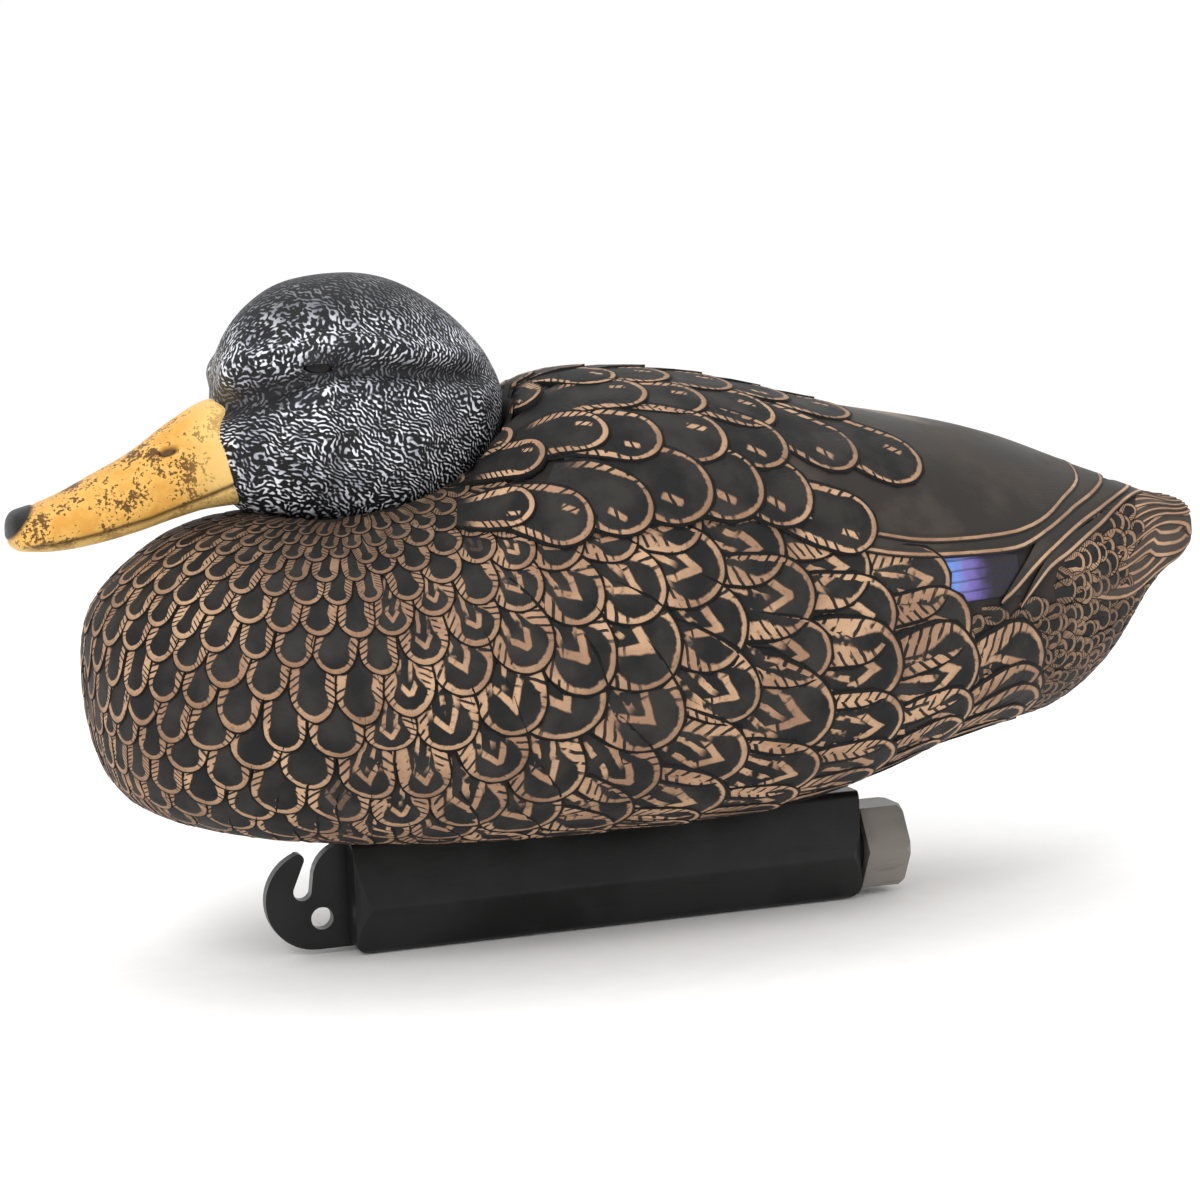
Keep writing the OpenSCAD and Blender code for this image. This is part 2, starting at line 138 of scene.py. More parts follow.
def curve(knots, t):
    """Cubic through the knots: each stretch is the Hermite curve whose end slopes are the chords
    between the knots on either side."""
    k = np.asarray(knots, float)
    px, py, n = k[:, 0], k[:, 1], len(k)
    a = np.maximum(np.arange(n) - 1, 0)
    b = np.minimum(np.arange(n) + 1, n - 1)
    m = (py[b] - py[a]) / (px[b] - px[a])
    i = np.clip(np.searchsorted(px, t, side="right") - 1, 0, n - 2)
    h = px[i + 1] - px[i]
    u = (t - px[i]) / h
    v = 1 - u
    ends = py[i] * v * v * (1 + 2 * u) + py[i + 1] * u * u * (3 - 2 * u)
    return ends + h * u * v * (m[i] * v - m[i + 1] * u)


def eased(s):
    """Half a cosine wave from 0 to 1."""
    return (1 - np.cos(np.pi * s)) / 2


def bent(a, p):
    """The size of a to the power p, with the sign of a."""
    return np.sign(a) * np.abs(a) ** p


def smooth(lo, hi, t):
    """0 below lo, 1 above hi, and the cubic 3k^2 - 2k^3 between."""
    k = np.clip((t - lo) / (hi - lo), 0, 1)
    return k * k * (3 - 2 * k)


def body_point(s, a):
    """Body surface: at share s of the rounded length the section is a superellipse between the
    belly and back lines, as wide as the side line, and a is the angle around it."""
    s = np.clip(s, 0, 1)
    low, high, half = curve(BELLY_LINE, s), curve(BACK_LINE, s), curve(SIDE_LINE, s)
    mid = low + (high - low) * BODY_MID
    sn, cs = np.sin(a), np.cos(a)
    p = np.where(sn < 0, 0.8, 0.95)
    x = BREAST_X + BODY_LENGTH * eased(s) + 0 * a
    z = mid + bent(sn, p) * np.where(sn < 0, mid - low, high - mid)
    return np.stack([x, half * bent(cs, p), z], -1)


SLOPE_STEP = 2e-3


def body_frame(s, a):
    """Point, unit normal and the two slopes of the body surface, by central differences."""
    h = SLOPE_STEP
    s = np.clip(s, h, 1 - h)
    ps = (body_point(s + h, a) - body_point(s - h, a)) / (2 * h)
    pa = (body_point(s, a + h) - body_point(s, a - h)) / (2 * h)
    n = np.cross(pa, ps)
    n /= np.linalg.norm(n, axis=-1, keepdims=True)
    return body_point(s, a), n, ps, pa


def unit(v):
    """The vectors divided by their lengths."""
    return v / np.maximum(np.linalg.norm(v, axis=-1, keepdims=True), 1e-9)


def chart_step(ps, pa, d):
    """Steps in s and a that move the surface point by the tangent vector d: the least-squares
    solution through the surface's metric."""
    e, f, g = (ps * ps).sum(-1), (ps * pa).sum(-1), (pa * pa).sum(-1)
    x, y = (ps * d).sum(-1), (pa * d).sum(-1)
    det = e * g - f * f
    return (g * x - f * y) / det, (e * y - f * x) / det


def head_z(s):
    """Height of the head's level at share s of its rounded height."""
    return HEAD_BASE + HEAD_HEIGHT * eased(s)


# Gap under the turning head, the levels of its underside, and the height above which all is clear
SEAT_GAP = 0.9
SEAT_LEVELS = np.linspace(0.0, 0.52, 60)
SEAT_TOP = 215


def seat_reach(s, bearing, gap):
    """Reach of the head from the neck's axis at a level and a bearing, kept as far as the turned
    head reaches, plus a gap."""
    long = np.maximum(curve(HEAD_FRONT, s), curve(HEAD_BACK, s)) + gap
    wide = curve(HEAD_SIDE, s) + gap
    off = np.abs((bearing + np.pi / 2) % np.pi - np.pi / 2)
    b = np.maximum(off - math.radians(HEAD_TURN), 0)
    return 1 / np.sqrt((np.cos(b) / long) ** 2 + (np.sin(b) / wide) ** 2)


def clear_of_head(p, gap=SEAT_GAP):
    """Lowers points that the turning head would touch: the head's underside, taken level by level,
    is a bowl whose height rises with the distance from the neck's axis."""
    d = p[..., :2] - np.array([NECK_X, 0])
    rho, bearing = np.hypot(d[..., 0], d[..., 1]), np.arctan2(d[..., 1], d[..., 0])
    floor_z = np.full(rho.shape, 1e9)
    for s in SEAT_LEVELS[::-1]:
        inside = rho < seat_reach(s, bearing, gap)
        floor_z = np.where(inside, head_z(s) - gap, floor_z)
    out = p.copy()
    out[..., 2] = np.where((p[..., 2] > floor_z) & (p[..., 2] < SEAT_TOP), floor_z, p[..., 2])
    return out


# ---- Meshes -----------------------------------------------------------------------------------


def build(name, points, *face_sets):
    """A mesh object from points in millimetres and any number of arrays of faces."""
    mesh = bpy.data.meshes.new(name)
    flat = np.asarray(points, np.float32).reshape(-1, 3) * MM
    mesh.vertices.add(len(flat))
    mesh.vertices.foreach_set("co", flat.ravel())
    corners = np.concatenate([np.asarray(f, np.int32).ravel() for f in face_sets])
    sizes = np.concatenate([np.full(len(f), f.shape[1], np.int32) for f in face_sets])
    mesh.loops.add(len(corners))
    mesh.loops.foreach_set("vertex_index", corners)
    mesh.polygons.add(len(sizes))
    mesh.polygons.foreach_set("loop_start", (np.cumsum(sizes) - sizes).astype(np.int32))
    mesh.polygons.foreach_set("loop_total", sizes)
    mesh.polygons.foreach_set("use_smooth", np.full(len(sizes), True))
    mesh.update(calc_edges=True)
    mesh.validate()
    obj = bpy.data.objects.new(name, mesh)
    bpy.context.scene.collection.objects.link(obj)
    return obj


def grid_faces(rows, cols, wrap):
    """Quads of a rows by cols grid of points, joined round if wrap is true."""
    i, j = np.meshgrid(np.arange(rows - 1), np.arange(cols if wrap else cols - 1), indexing="ij")
    k = (j + 1) % cols
    return np.stack([i * cols + j, (i + 1) * cols + j, (i + 1) * cols + k, i * cols + k], -1).reshape(-1, 4)


def closed_tube(name, grid, other_way):
    """A tube of rings with a fan over each end: the ends' centres are the means of the end rings. The
    faces are turned over where the rings run the other way round."""
    rows, cols = grid.shape[:2]
    j = np.arange(cols)
    k = (j + 1) % cols
    first, last = rows * cols, rows * cols + 1
    points = np.concatenate([grid.reshape(-1, 3), grid[0].mean(0)[None], grid[-1].mean(0)[None]])
    quads = grid_faces(rows, cols, True)
    end = (rows - 1) * cols
    fans = np.concatenate([np.stack([j, k, np.full(cols, first)], -1),
                           np.stack([end + k, end + j, np.full(cols, last)], -1)])
    if other_way:
        quads, fans = quads[:, ::-1], fans[:, ::-1]
    return build(name, points, quads, fans)


def colour_attribute(obj, name, values):
    """Four numbers to each point, stored as a float colour."""
    layer = obj.data.color_attributes.new(name, "FLOAT_COLOR", "POINT")
    layer.data.foreach_set("color", np.asarray(values, np.float32).ravel())


def uv_map(obj, name, uv_per_point):
    """Two numbers to each point, stored as a UV map."""
    layer = obj.data.uv_layers.new(name=name)
    index = np.empty(len(obj.data.loops), np.int32)
    obj.data.loops.foreach_get("vertex_index", index)
    layer.data.foreach_set("uv", np.asarray(uv_per_point, np.float32)[index].ravel())


# Rise of the tail's end, how square its section becomes, and from where to where along x
TAIL_LIFT = 1.5
TAIL_SQUARE = 0.55
SQUARE_FROM, SQUARE_TO = 176, 214


def square_tail(q):
    """Makes the section squarer towards the tail's end, and raises it a little: the height over the
    section's middle, as a share of its full height, is taken to a power below 1."""
    x, z = q[..., 0], q[..., 2]
    k = smooth(SQUARE_FROM, SQUARE_TO, x)
    s = np.arccos(np.clip(1 - 2 * (x - BREAST_X) / BODY_LENGTH, -1, 1)) / np.pi
    low, high = curve(BELLY_LINE, s), curve(BACK_LINE, s)
    mid = low + (high - low) * BODY_MID
    half = np.where(z > mid, high - mid, mid - low)
    raised = mid + bent((z - mid) / half, 1 - TAIL_SQUARE * k) * half + TAIL_LIFT * k
    return np.stack([x, q[..., 1], raised], -1)


# ---- Feathers ---------------------------------------------------------------------------------

# Length of the round tip in half-widths, and the share of the length that lies ahead of the anchor
TIP_ROUND = 1.15
TIP_AHEAD = 0.35
# Share of the body at the neck's axis, and the share below which steps are taken in polar form
NECK_SHARE, POLAR_BELOW = 0.3239, 0.3
# Depth of the rim's foot and of the root below the surface
WALL_DEPTH = 0.35
ROOT_SINK = 0.3
FEATHER_U = np.concatenate([[-1.0], np.sin(np.linspace(-np.pi / 2, np.pi / 2, 7)), [1.0]])
FEATHER_V = np.array([0, 0.35, 0.55, 0.72, 0.87, 1.0, 1.0])


def on_body(s0, a0, ps, pa, shift):
    """Surface shares and angles of points shifted from an anchor by tangent vectors. Near the breast,
    where the angle closes up, the step is taken in the plane of polar coordinates."""
    ds, da = chart_step(ps, pa, shift)
    ca, sa = np.cos(a0), np.sin(a0)
    qx = s0 * ca + ds * ca - s0 * da * sa
    qy = s0 * sa + ds * sa + s0 * da * ca
    front = s0 < POLAR_BELOW
    s = np.where(front, np.hypot(qx, qy), s0 + ds)
    a = np.where(front, np.arctan2(qy, qx), a0 + da)
    return np.clip(s, 0.004, 0.996), a


def feather_patches(name, s0, a0, heading, width, length, lift, base, look, tilt=0.1, clearance=SEAT_GAP):
    """Feathers laid on the body. Each is a grid, u across and v from root to tip. Its tip is a
    half-ellipse, its height over the body rises with v to the power 1.15, is crowned across, and tilts
    so that the upper edge lies over the neighbour's. The rim turns down to the body, the root sinks into
    it, and all of it keeps the clearance below the turning head."""
    n, rows, cols = len(s0), len(FEATHER_V), len(FEATHER_U)
    p, nrm, ps, pa = body_frame(s0, a0)
    t = unit(heading - (heading * nrm).sum(-1, keepdims=True) * nrm)
    b = np.cross(nrm, t)
    vv, uu = np.meshgrid(FEATHER_V, FEATHER_U, indexing="ij")
    wall = np.zeros((rows, cols), bool)
    wall[-1] = wall[:, 0] = wall[:, -1] = True
    length, width, lift, base = (q[:, None, None] for q in (length, width, lift, base))
    cap = np.minimum(TIP_ROUND * width / 2, 0.9 * length)
    straight = length - cap
    y = vv[None] * (straight + cap * np.sqrt(np.maximum(1 - uu[None] ** 2, 0)))
    x = uu[None] * width / 2 * (0.78 + 0.22 * smooth(0, 0.6, vv[None]))
    ahead = y - length * (1 - TIP_AHEAD)
    shift = t[:, None, None] * ahead[..., None] + b[:, None, None] * x[..., None]
    s, a = on_body(s0[:, None, None], a0[:, None, None], ps[:, None, None], pa[:, None, None], shift)
    q, nq, _, _ = body_frame(s, a)
    up_side = np.where(p[:, 1] > 0, -1.0, 1.0)[:, None, None]
    crown = 0.05 * vv[None] * (1 - uu[None] ** 2)
    height = base + lift * (vv[None] ** 1.15 + crown + tilt * up_side * uu[None] * vv[None])
    height = height - ROOT_SINK * (1 - vv[None]) ** 3
    height = np.where(wall[None], -WALL_DEPTH, height)
    q = square_tail(clear_of_head(q + nq * height[..., None], clearance))
    first = (np.arange(n) * rows * cols)[:, None, None]
    faces = (grid_faces(rows, cols, False)[None] + first).reshape(-1, 4)
    obj = build(name, q, faces)
    grow = np.where(wall, 1.05, 1.0)[None]
    uv = np.stack([uu[None] * grow + 0 * y, (y - straight) / cap * grow], -1)
    uv_map(obj, "feather", uv.reshape(-1, 2))
    colour_attribute(obj, "look", np.repeat(look, rows * cols, axis=0))
    return obj


# Degrees between the paths
FLANK_SPACING, BREAST_SPACING = 5.2, 3.9


def bearings():
    """Directions in which the feathers run from the neck, from the tail (0) round to the breast (180
    degrees): wide apart to the flank and closer to the breast, with the last one on the middle line."""
    out = [180.0]
    while out[-1] > 4:
        out.append(out[-1] - BREAST_SPACING - (FLANK_SPACING - BREAST_SPACING) * smooth(128, 82, out[-1]))
    return np.radians(out[::-1])


def streamlines(bearing, reach, step):
    """Paths over the left half of the body from the neck, one to each bearing: each goes straight on
    over the surface, and is steered towards the tail behind the breast and under it."""
    s = np.full(len(bearing), NECK_SHARE)
    a = np.full(len(bearing), np.pi / 2)
    heading = np.stack([np.cos(bearing), -np.sin(bearing), 0 * bearing], -1)
    out = []
    for _ in range(int(reach / step)):
        p, n, ps, pa = body_frame(s, a)
        heading = unit(heading - (heading * n).sum(-1, keepdims=True) * n)
        out.append((s.copy(), a.copy(), p, heading.copy()))
        along = unit(ps)
        pull = 0.012 * smooth(-70, 30, p[:, 0])
        pull += 0.02 * smooth(85, 45, p[:, 2]) * smooth(-175, -120, p[:, 0])
        heading = unit(heading + along * (pull * step)[:, None])
        ds, da = chart_step(ps, pa, heading)
        small = s < POLAR_BELOW
        qx = s * np.cos(a) + step * (ds * np.cos(a) - s * da * np.sin(a))
        qy = s * np.sin(a) + step * (ds * np.sin(a) + s * da * np.cos(a))
        s = np.clip(np.where(small, np.hypot(qx, qy), s + step * ds), 0.003, 0.997)
        a = np.where(small, np.arctan2(qy, qx), a + step * da)
        a = np.where(a > np.pi / 2 + 1e-6, a - 2 * np.pi, a)
    return [np.array(v) for v in zip(*out)]


# Step along the paths, and the distances of the first row and of the paths' ends
STEP = 1.5
FIRST_ROW, LAST_ROW = 33.0, 470.0
# Distance to the next row: its share of the distance from the neck, its least, and its most at the
# breast, with what the flank adds to that
ROW_SHARE, ROW_LEAST, ROW_MOST, FLANK_EXTRA = 0.135, 3.6, 10.4, 5.6
ROWS_TRIED = 70


def row_distances(bearing):
    """Distance of each row of feathers from the neck: the gap to the next row is a share of the
    distance, up to a limit that is larger towards the flank than towards the breast."""
    side = smooth(140, 85, np.degrees(bearing))
    d = np.full(len(bearing), FIRST_ROW)
    rows = [d]
    for _ in range(ROWS_TRIED):
        d = d + np.clip(ROW_SHARE * d, ROW_LEAST, ROW_MOST + FLANK_EXTRA * side)
        rows.append(d)
    return np.array(rows)


def lattice():
    """Places of the contour feathers, each row shifted by half a feather from the one before."""
    bearing = bearings()
    count = len(bearing)
    s, a, p, heading = streamlines(bearing, LAST_ROW, STEP)
    left = np.concatenate([p[:, :1] * [1, -1, 1], p[:, :-1]], axis=1)
    right = np.concatenate([p[:, 1:], p[:, -2:-1] * [1, -1, 1]], axis=1)
    gap = np.linalg.norm(right - left, axis=-1)
    rows = row_distances(bearing)
    k, j = np.meshgrid(np.arange(len(rows) - 1), np.arange(count), indexing="ij")
    use = ((k + j) % 2 == 0) & (rows[:-1] < LAST_ROW - 2 * STEP)
    k, j = k[use], j[use]
    d = rows[k, j] + rng.normal(0, 0.06, len(k)) * (rows[k + 1, j] - rows[k, j])
    i = np.clip((d / STEP).astype(int), 0, len(s) - 1)
    exposure = rows[k + 1, j] - rows[k, j]
    return s[i, j], a[i, j], p[i, j], heading[i, j], gap[i, j], d, exposure, j == count - 1


# Angle of the edge of the folded wing over the flank, by share: feathers above it are left out
WING_EDGE = [
    (0, 0), (0.34, 0), (0.355, 95), (0.38, 124), (0.4, 135), (0.42, 148), (0.45, 151), (0.5, 152),
    (0.6, 155), (0.625, 165), (0.66, 173), (0.69, 183), (0.71, 195), (0.73, 262), (0.74, 290), (1, 300)]


def fold(a):
    """The angle as degrees round the left side, 90 on the back and 270 under the belly."""
    d = np.degrees(a) % 360
    return np.where((d < 90) | (d > 270), (180 - d) % 360, d)


def two_sides(middle, s, a, h, *rest):
    """The same feathers on the left and on the right, but those on the middle line only once."""
    again = ~middle
    sides = [np.concatenate([s, s[again]]), np.concatenate([a, np.pi - a[again]]),
             np.concatenate([h, h[again] * [1, -1, 1]])]
    return sides + [np.concatenate([r, r[again]]) for r in rest]


WIDTH_SHARE, WIDTH_LIMITS = 1.06, (5, 31)
LENGTH_SHARE, LENGTH_LIMITS = 2.6, (8, 50)
LEAST_GAP = 4
# Radius and level of the seat under the head, where no feathers are laid
SEAT_RADIUS, SEAT_FLOOR = 36, 140
BREAST_END, BELLY_TOP = -75, 80
FEATHER_BASE = 0.15


def contour_feathers():
    """Breast, flank and belly feathers: those of the lattice that lie clear of the head's seat and
    outside the folded wing. Widths follow the gap between the paths and lengths the gap between the
    rows, and each feather is a little off in size and direction."""
    s, a, p, heading, gap, far, exposure, middle = lattice()
    width = np.clip(gap * WIDTH_SHARE, *WIDTH_LIMITS)
    length = np.clip(exposure * LENGTH_SHARE + width * 0.2, *LENGTH_LIMITS)
    _, _, ps, pa = body_frame(s, a)
    tip_s, tip_a = on_body(s, a, ps, pa, heading * (length * TIP_AHEAD)[:, None])
    seat = (np.hypot(p[:, 0] - NECK_X, p[:, 1]) < SEAT_RADIUS) & (p[:, 2] > SEAT_FLOOR)
    keep = (gap > LEAST_GAP) & (fold(tip_a) > np.interp(tip_s, *zip(*WING_EDGE))) & ~seat
    kept = [v[keep] for v in (middle, s, a, heading, width, length, far)]
    s, a, heading, width, length, far = two_sides(*kept)
    n = len(s)
    x, y, z = body_point(s, a).T
    width = width * (1 + 0.07 * rng.normal(0, 1, n))
    length = length * (1 + 0.06 * rng.normal(0, 1, n))
    heading = heading + 0.07 * rng.normal(0, 1, (n, 3))
    heading[:, 2] += 0.14 * smooth(-60, 10, x) + 0.22 * smooth(20, 120, x)
    rim = 1.4 + 0.2 * smooth(13, 24, width)
    border = np.clip(rim / (width / 2), 0.1, 0.3) * (0.9 + 0.25 * rng.random(n))
    rand = rng.random(n)
    marked = smooth(12, 16, width + rng.normal(0, 1, n)) * smooth(-118, -88, x + 8 * rng.normal(0, 1, n))
    look = np.stack([rand, border, marked, smooth(85, 45, far)], -1)
    lift = np.clip(0.42 + length * 0.016, 0.5, 1.15)
    breast, left, low = x < BREAST_END, y < 0, z < BELLY_TOP
    done = []
    for region, here in (("breast", breast), ("flank", ~breast & ~low), ("belly", ~breast & low)):
        for side, m in (("left", here & left), ("right", here & ~left)):
            done.append(feather_patches(
                f"{region}_feathers_{side}", s[m], a[m], heading[m], width[m], length[m], lift[m],
                np.full(m.sum(), FEATHER_BASE), look[m]))
    return done


feather_pieces = contour_feathers()

# Shoulder feathers on the left: share and angle of the tip, share and angle of the root, width.
SHOULDER = np.array([
    (0.46, 106.4, 0.427, 84, 22), (0.42, 106.4, 0.417, 92, 14), (0.473, 114.8, 0.425, 112, 22),
    (0.505, 118.0, 0.463, 114, 22), (0.543, 120.4, 0.5, 113.6, 26), (0.583, 132.0, 0.54, 118.4, 28),
    (0.625, 133.6, 0.57, 118.4, 30), (0.443, 129.2, 0.413, 120.8, 20), (0.41, 127.2, 0.382, 116.0, 17),
    (0.453, 152.0, 0.422, 140.4, 24), (0.487, 148.0, 0.44, 138.0, 30), (0.517, 147.6, 0.478, 138.8, 30),
    (0.545, 149.2, 0.512, 140.0, 28), (0.583, 153.6, 0.545, 149.2, 24), (0.422, 150.8, 0.395, 137.6, 22),
    (0.398, 138.4, 0.373, 130.8, 17), (0.565, 104, 0.515, 98, 26), (0.6, 108, 0.55, 102, 26),
    (0.53, 105, 0.48, 100, 24), (0.495, 104, 0.45, 98, 22), (0.402, 114, 0.375, 108, 14),
    (0.47, 133, 0.435, 126, 24), (0.505, 133, 0.46, 126, 26), (0.54, 134, 0.5, 126, 26)])
# Feathers along the middle of the back: share of the tip and of the root, width.
BACK = np.array([
    (0.425, 0.405, 16), (0.455, 0.42, 20), (0.49, 0.455, 24), (0.525, 0.485, 26), (0.56, 0.52, 27),
    (0.595, 0.55, 28)])
SHOULDER_CLEARANCE = 2.4
# Length over the distance between tip and root, and its limits
SHOULDER_LENGTH, SHOULDER_LIMITS = 1.6, (26, 60)


def shoulder_feathers():
    """Large feathers over the shoulders and back, from the tables: each runs from its root to its tip,
    its length is SHOULDER_LENGTH times the distance between them, and those nearer the neck lie higher."""
    tip, root = np.radians(SHOULDER[:, 1]), np.radians(SHOULDER[:, 3])
    s_tip, s_root, wide = SHOULDER[:, 0], SHOULDER[:, 2], SHOULDER[:, 4]
    k = TIP_AHEAD * 1.15
    s, a = s_tip + (s_root - s_tip) * k, tip + (root - tip) * k
    run = body_point(s_tip, tip) - body_point(s_root, root)
    long = np.clip(np.linalg.norm(run, axis=1) * SHOULDER_LENGTH, *SHOULDER_LIMITS)
    s, a, run, wide, long = two_sides(np.zeros(len(s), bool), s, a, run, wide, long)
    s = np.concatenate([s, BACK[:, 0] + (BACK[:, 1] - BACK[:, 0]) * 0.3])
    a = np.concatenate([a, np.full(len(BACK), np.pi / 2)])
    run = np.concatenate([run, np.tile([1.0, 0, -0.2], (len(BACK), 1))])
    wide = np.concatenate([wide, BACK[:, 2]])
    long = np.concatenate([long, np.full(len(BACK), 36.0)])
    count = len(s)
    looks = np.stack([rng.random(count), 1.7 / (wide / 2), np.full(count, -1.0), 0 * s], -1)
    base = 1.25 + 0.9 * smooth(0.62, 0.38, s)
    left = np.arange(count) < len(SHOULDER)
    centre = np.arange(count) >= 2 * len(SHOULDER)
    done = []
    for piece, m in (("shoulder_feathers_left", left), ("shoulder_feathers_right", ~left & ~centre),
                     ("back_feathers", centre)):
        done.append(feather_patches(
            piece, s[m], a[m], run[m], wide[m], long[m], np.full(m.sum(), 1.0), base[m] + 0.35 * centre[m],
            looks[m], clearance=SHOULDER_CLEARANCE))
    return done


feather_pieces += shoulder_feathers()


RUMP_ROWS = np.arange(100.0, 205.0, 4.4)
RUMP_SPACING = 6.2
# Angle down to which the tail and the wing hide the rump, by share, and the patch over the tail's root
RUMP_EDGE = [
    (0.64, 182), (0.68, 179), (0.73, 176), (0.74, 164), (0.79, 164), (0.81, 176), (0.83, 187), (0.9, 202),
    (0.94, 212)]
UPPER_EDGE = [(0.74, 166), (0.78, 152), (0.83, 143)]


def rump_feathers():
    """Small feathers under and over the tail's root: rows at equal steps along the body, each with
    feathers at equal arc lengths round it, and every second row shifted by half."""
    picked = []
    ring = np.radians(np.linspace(140, 270, 400))
    for k, x in enumerate(RUMP_ROWS):
        s = math.acos(1 - 2 * (x - BREAST_X) / BODY_LENGTH) / math.pi
        p = body_point(np.full(400, s), ring)
        arc = np.concatenate([[0], np.cumsum(np.linalg.norm(np.diff(p, axis=0), axis=1))])
        at = np.arange(arc[-1] - (k % 2) * RUMP_SPACING / 2, 0, -RUMP_SPACING)
        picked += [(s, v) for v in np.interp(at, arc, ring)]
    s, a = np.array(picked).T
    deg = np.degrees(a)
    upper = (deg > np.interp(s, *zip(*UPPER_EDGE))) & (deg < 168) & (s > 0.745) & (s < 0.835)
    use = (deg > np.interp(s, *zip(*RUMP_EDGE))) | upper
    s, a, upper = s[use], a[use], upper[use]
    middle = np.degrees(a) > 269.5
    p, _, ps, pa = body_frame(s, a)
    run = unit(ps) + 0.34 * rng.normal(0, 1, p.shape)
    s, a = on_body(s, a, ps, pa, 0.9 * rng.normal(0, 1, p.shape) * (1 - middle[:, None]))
    s, a, run, upper = two_sides(middle, s, a, run, upper)
    count = len(s)
    wide = np.where(upper, 9.0, 7.6) * (1 + 0.16 * rng.normal(0, 1, count))
    long = wide * 1.25
    rand, border = rng.random(count), (0.8 + 0.6 * rng.random(count)) / (wide / 2)
    looks = np.stack([rand, border, 0 * s, np.where(upper, 0.2, 0.8)], -1)
    base = np.where(upper | (fold(a) < 181), 0.35, 0.05)
    lift = np.where(upper, 0.5, 0.4)
    return feather_patches("rump_feathers", s, a, run, wide, long, lift, base, looks)


feather_pieces.append(rump_feathers())

# ---- Folded wings and tail --------------------------------------------------------------------


def over_body(path, v):
    """Cubic through the knots (share, angle in degrees) of a path, by its share of the length."""
    knots = np.array(path, float)
    p = body_point(knots[:, 0], np.radians(knots[:, 1]))
    run = np.concatenate([[0], np.cumsum(np.linalg.norm(np.diff(p, axis=0), axis=1))])
    run /= run[-1]
    share = curve(np.stack([run, knots[:, 0]], 1), v)
    return share, np.radians(curve(np.stack([run, knots[:, 1]], 1), v))


def quill(upper, lower, base, rise, rows, cols):
    """One long feather of the folded wing: a sheet between two paths over the body, u from the upper
    to the lower, whose height grows towards the lower edge, where it turns down to the body. Gives
    the points, and the distances in millimetres from the lower edge and from the root."""
    v = np.linspace(0, 1, rows)
    u = np.concatenate([np.linspace(0, 1, cols) ** 0.7, [1.0]])
    (su, au), (sl, al) = over_body(upper, v), over_body(lower, v)
    s = su[:, None] * (1 - u) + sl[:, None] * u
    a = au[:, None] * (1 - u) + al[:, None] * u
    p, n, _, _ = body_frame(s, a)
    height = base + rise * u ** 2 + 0 * s
    height[:, -1] = -WALL_DEPTH
    from_edge = np.linalg.norm(p - p[:, -1:], axis=-1)
    from_edge[:, -1] = -0.3
    along = np.cumsum(np.linalg.norm(np.diff(p, axis=0), axis=-1), axis=0)
    from_root = np.concatenate([np.zeros((1, len(u))), along])
    return square_tail(p + n * height[..., None]), from_edge, from_root


# Long wing feathers, the innermost first: knots of the upper and lower edge (share, angle), height
# over the body and rise to the lower edge
QUILLS = [
    ([(0.5, 90), (0.6, 90), (0.7, 90), (0.76, 90), (0.792, 90)],
     [(0.52, 150), (0.58, 155), (0.632, 158.4), (0.687, 157.2), (0.717, 152), (0.745, 141.6),
      (0.778, 125.6), (0.79, 106), (0.793, 91)], 1.3, 0.3),
    ([(0.56, 140), (0.66, 130), (0.74, 112), (0.8, 96), (0.83, 92)],
     [(0.56, 158), (0.6, 161), (0.647, 162.8), (0.69, 162), (0.713, 157.6), (0.753, 145.2),
      (0.807, 125.2), (0.825, 108), (0.832, 93)], 1.1, 0.25),
    ([(0.672, 177), (0.695, 166), (0.715, 156), (0.75, 145), (0.8, 124), (0.86, 104), (0.868, 102)],
     [(0.673, 178), (0.685, 174.8), (0.705, 168), (0.733, 158.8), (0.762, 150), (0.792, 142),
      (0.837, 130.4), (0.86, 116), (0.868, 103)], 0.95, 0.3),
    ([(0.69, 178), (0.715, 165), (0.745, 155), (0.79, 143), (0.84, 124), (0.88, 106), (0.895, 102)],
     [(0.688, 180), (0.703, 174.4), (0.72, 168), (0.743, 162), (0.772, 154), (0.802, 146),
      (0.85, 134), (0.88, 119), (0.895, 104)], 0.8, 0.3)]
BAND = [
    ([(0.6, 159), (0.632, 161), (0.66, 162), (0.69, 163)],
     [(0.6, 174), (0.632, 175), (0.66, 175.5), (0.69, 176)], 0.2, 0.1)]
MIRRORED = np.array([1, -1, 1])
SIDES = (("left", False), ("right", True))


def wing_sheets(piece, sheets, flip, rows, cols):
    """Sheets of one wing joined into one piece, laid on the left side or mirrored to the right."""
    points, faces, uvs, start = [], [], [], 0
    for sheet in sheets:
        q, edge, root = quill(*sheet, rows, cols)
        f = grid_faces(*q.shape[:2], False)
        points.append(q.reshape(-1, 3) * (MIRRORED if flip else 1))
        faces.append((f if flip else f[:, ::-1]) + start)
        uvs.append(np.stack([edge.ravel(), root.ravel()], -1))
        start += len(points[-1])
    obj = build(piece, np.concatenate(points), np.concatenate(faces))
    uv_map(obj, "quill", np.concatenate(uvs))
    return obj


wing_pieces = [wing_sheets("wing_quills_" + side, QUILLS, flip, 40, 13) for side, flip in SIDES]
band_pieces = [wing_sheets("wing_band_" + side, BAND, flip, 24, 10) for side, flip in SIDES]

# The tail's feathers: edges at the tail's end and at its root, from the middle of the back round the
# left side, as angles, and the root's share of the body.
TAIL_END = [90, 104, 117, 130, 142, 151, 160, 170, 182, 195, 208]
TAIL_ROOT = [90, 98, 108, 120, 134, 148, 155, 160, 165, 170, 176]
TAIL_START = [0.87, 0.87, 0.865, 0.86, 0.85, 0.836, 0.822, 0.812, 0.79, 0.765, 0.735]
# Columns across each feather, and the row from which the stripes' widths stay the same
TAIL_SHARE = np.array([0, 0.3, 0.6, 0.85, 0.97, 1.0])
TAIL_ROWS, WIDTH_HELD = 22, 17
TAIL_RISE = 0.85


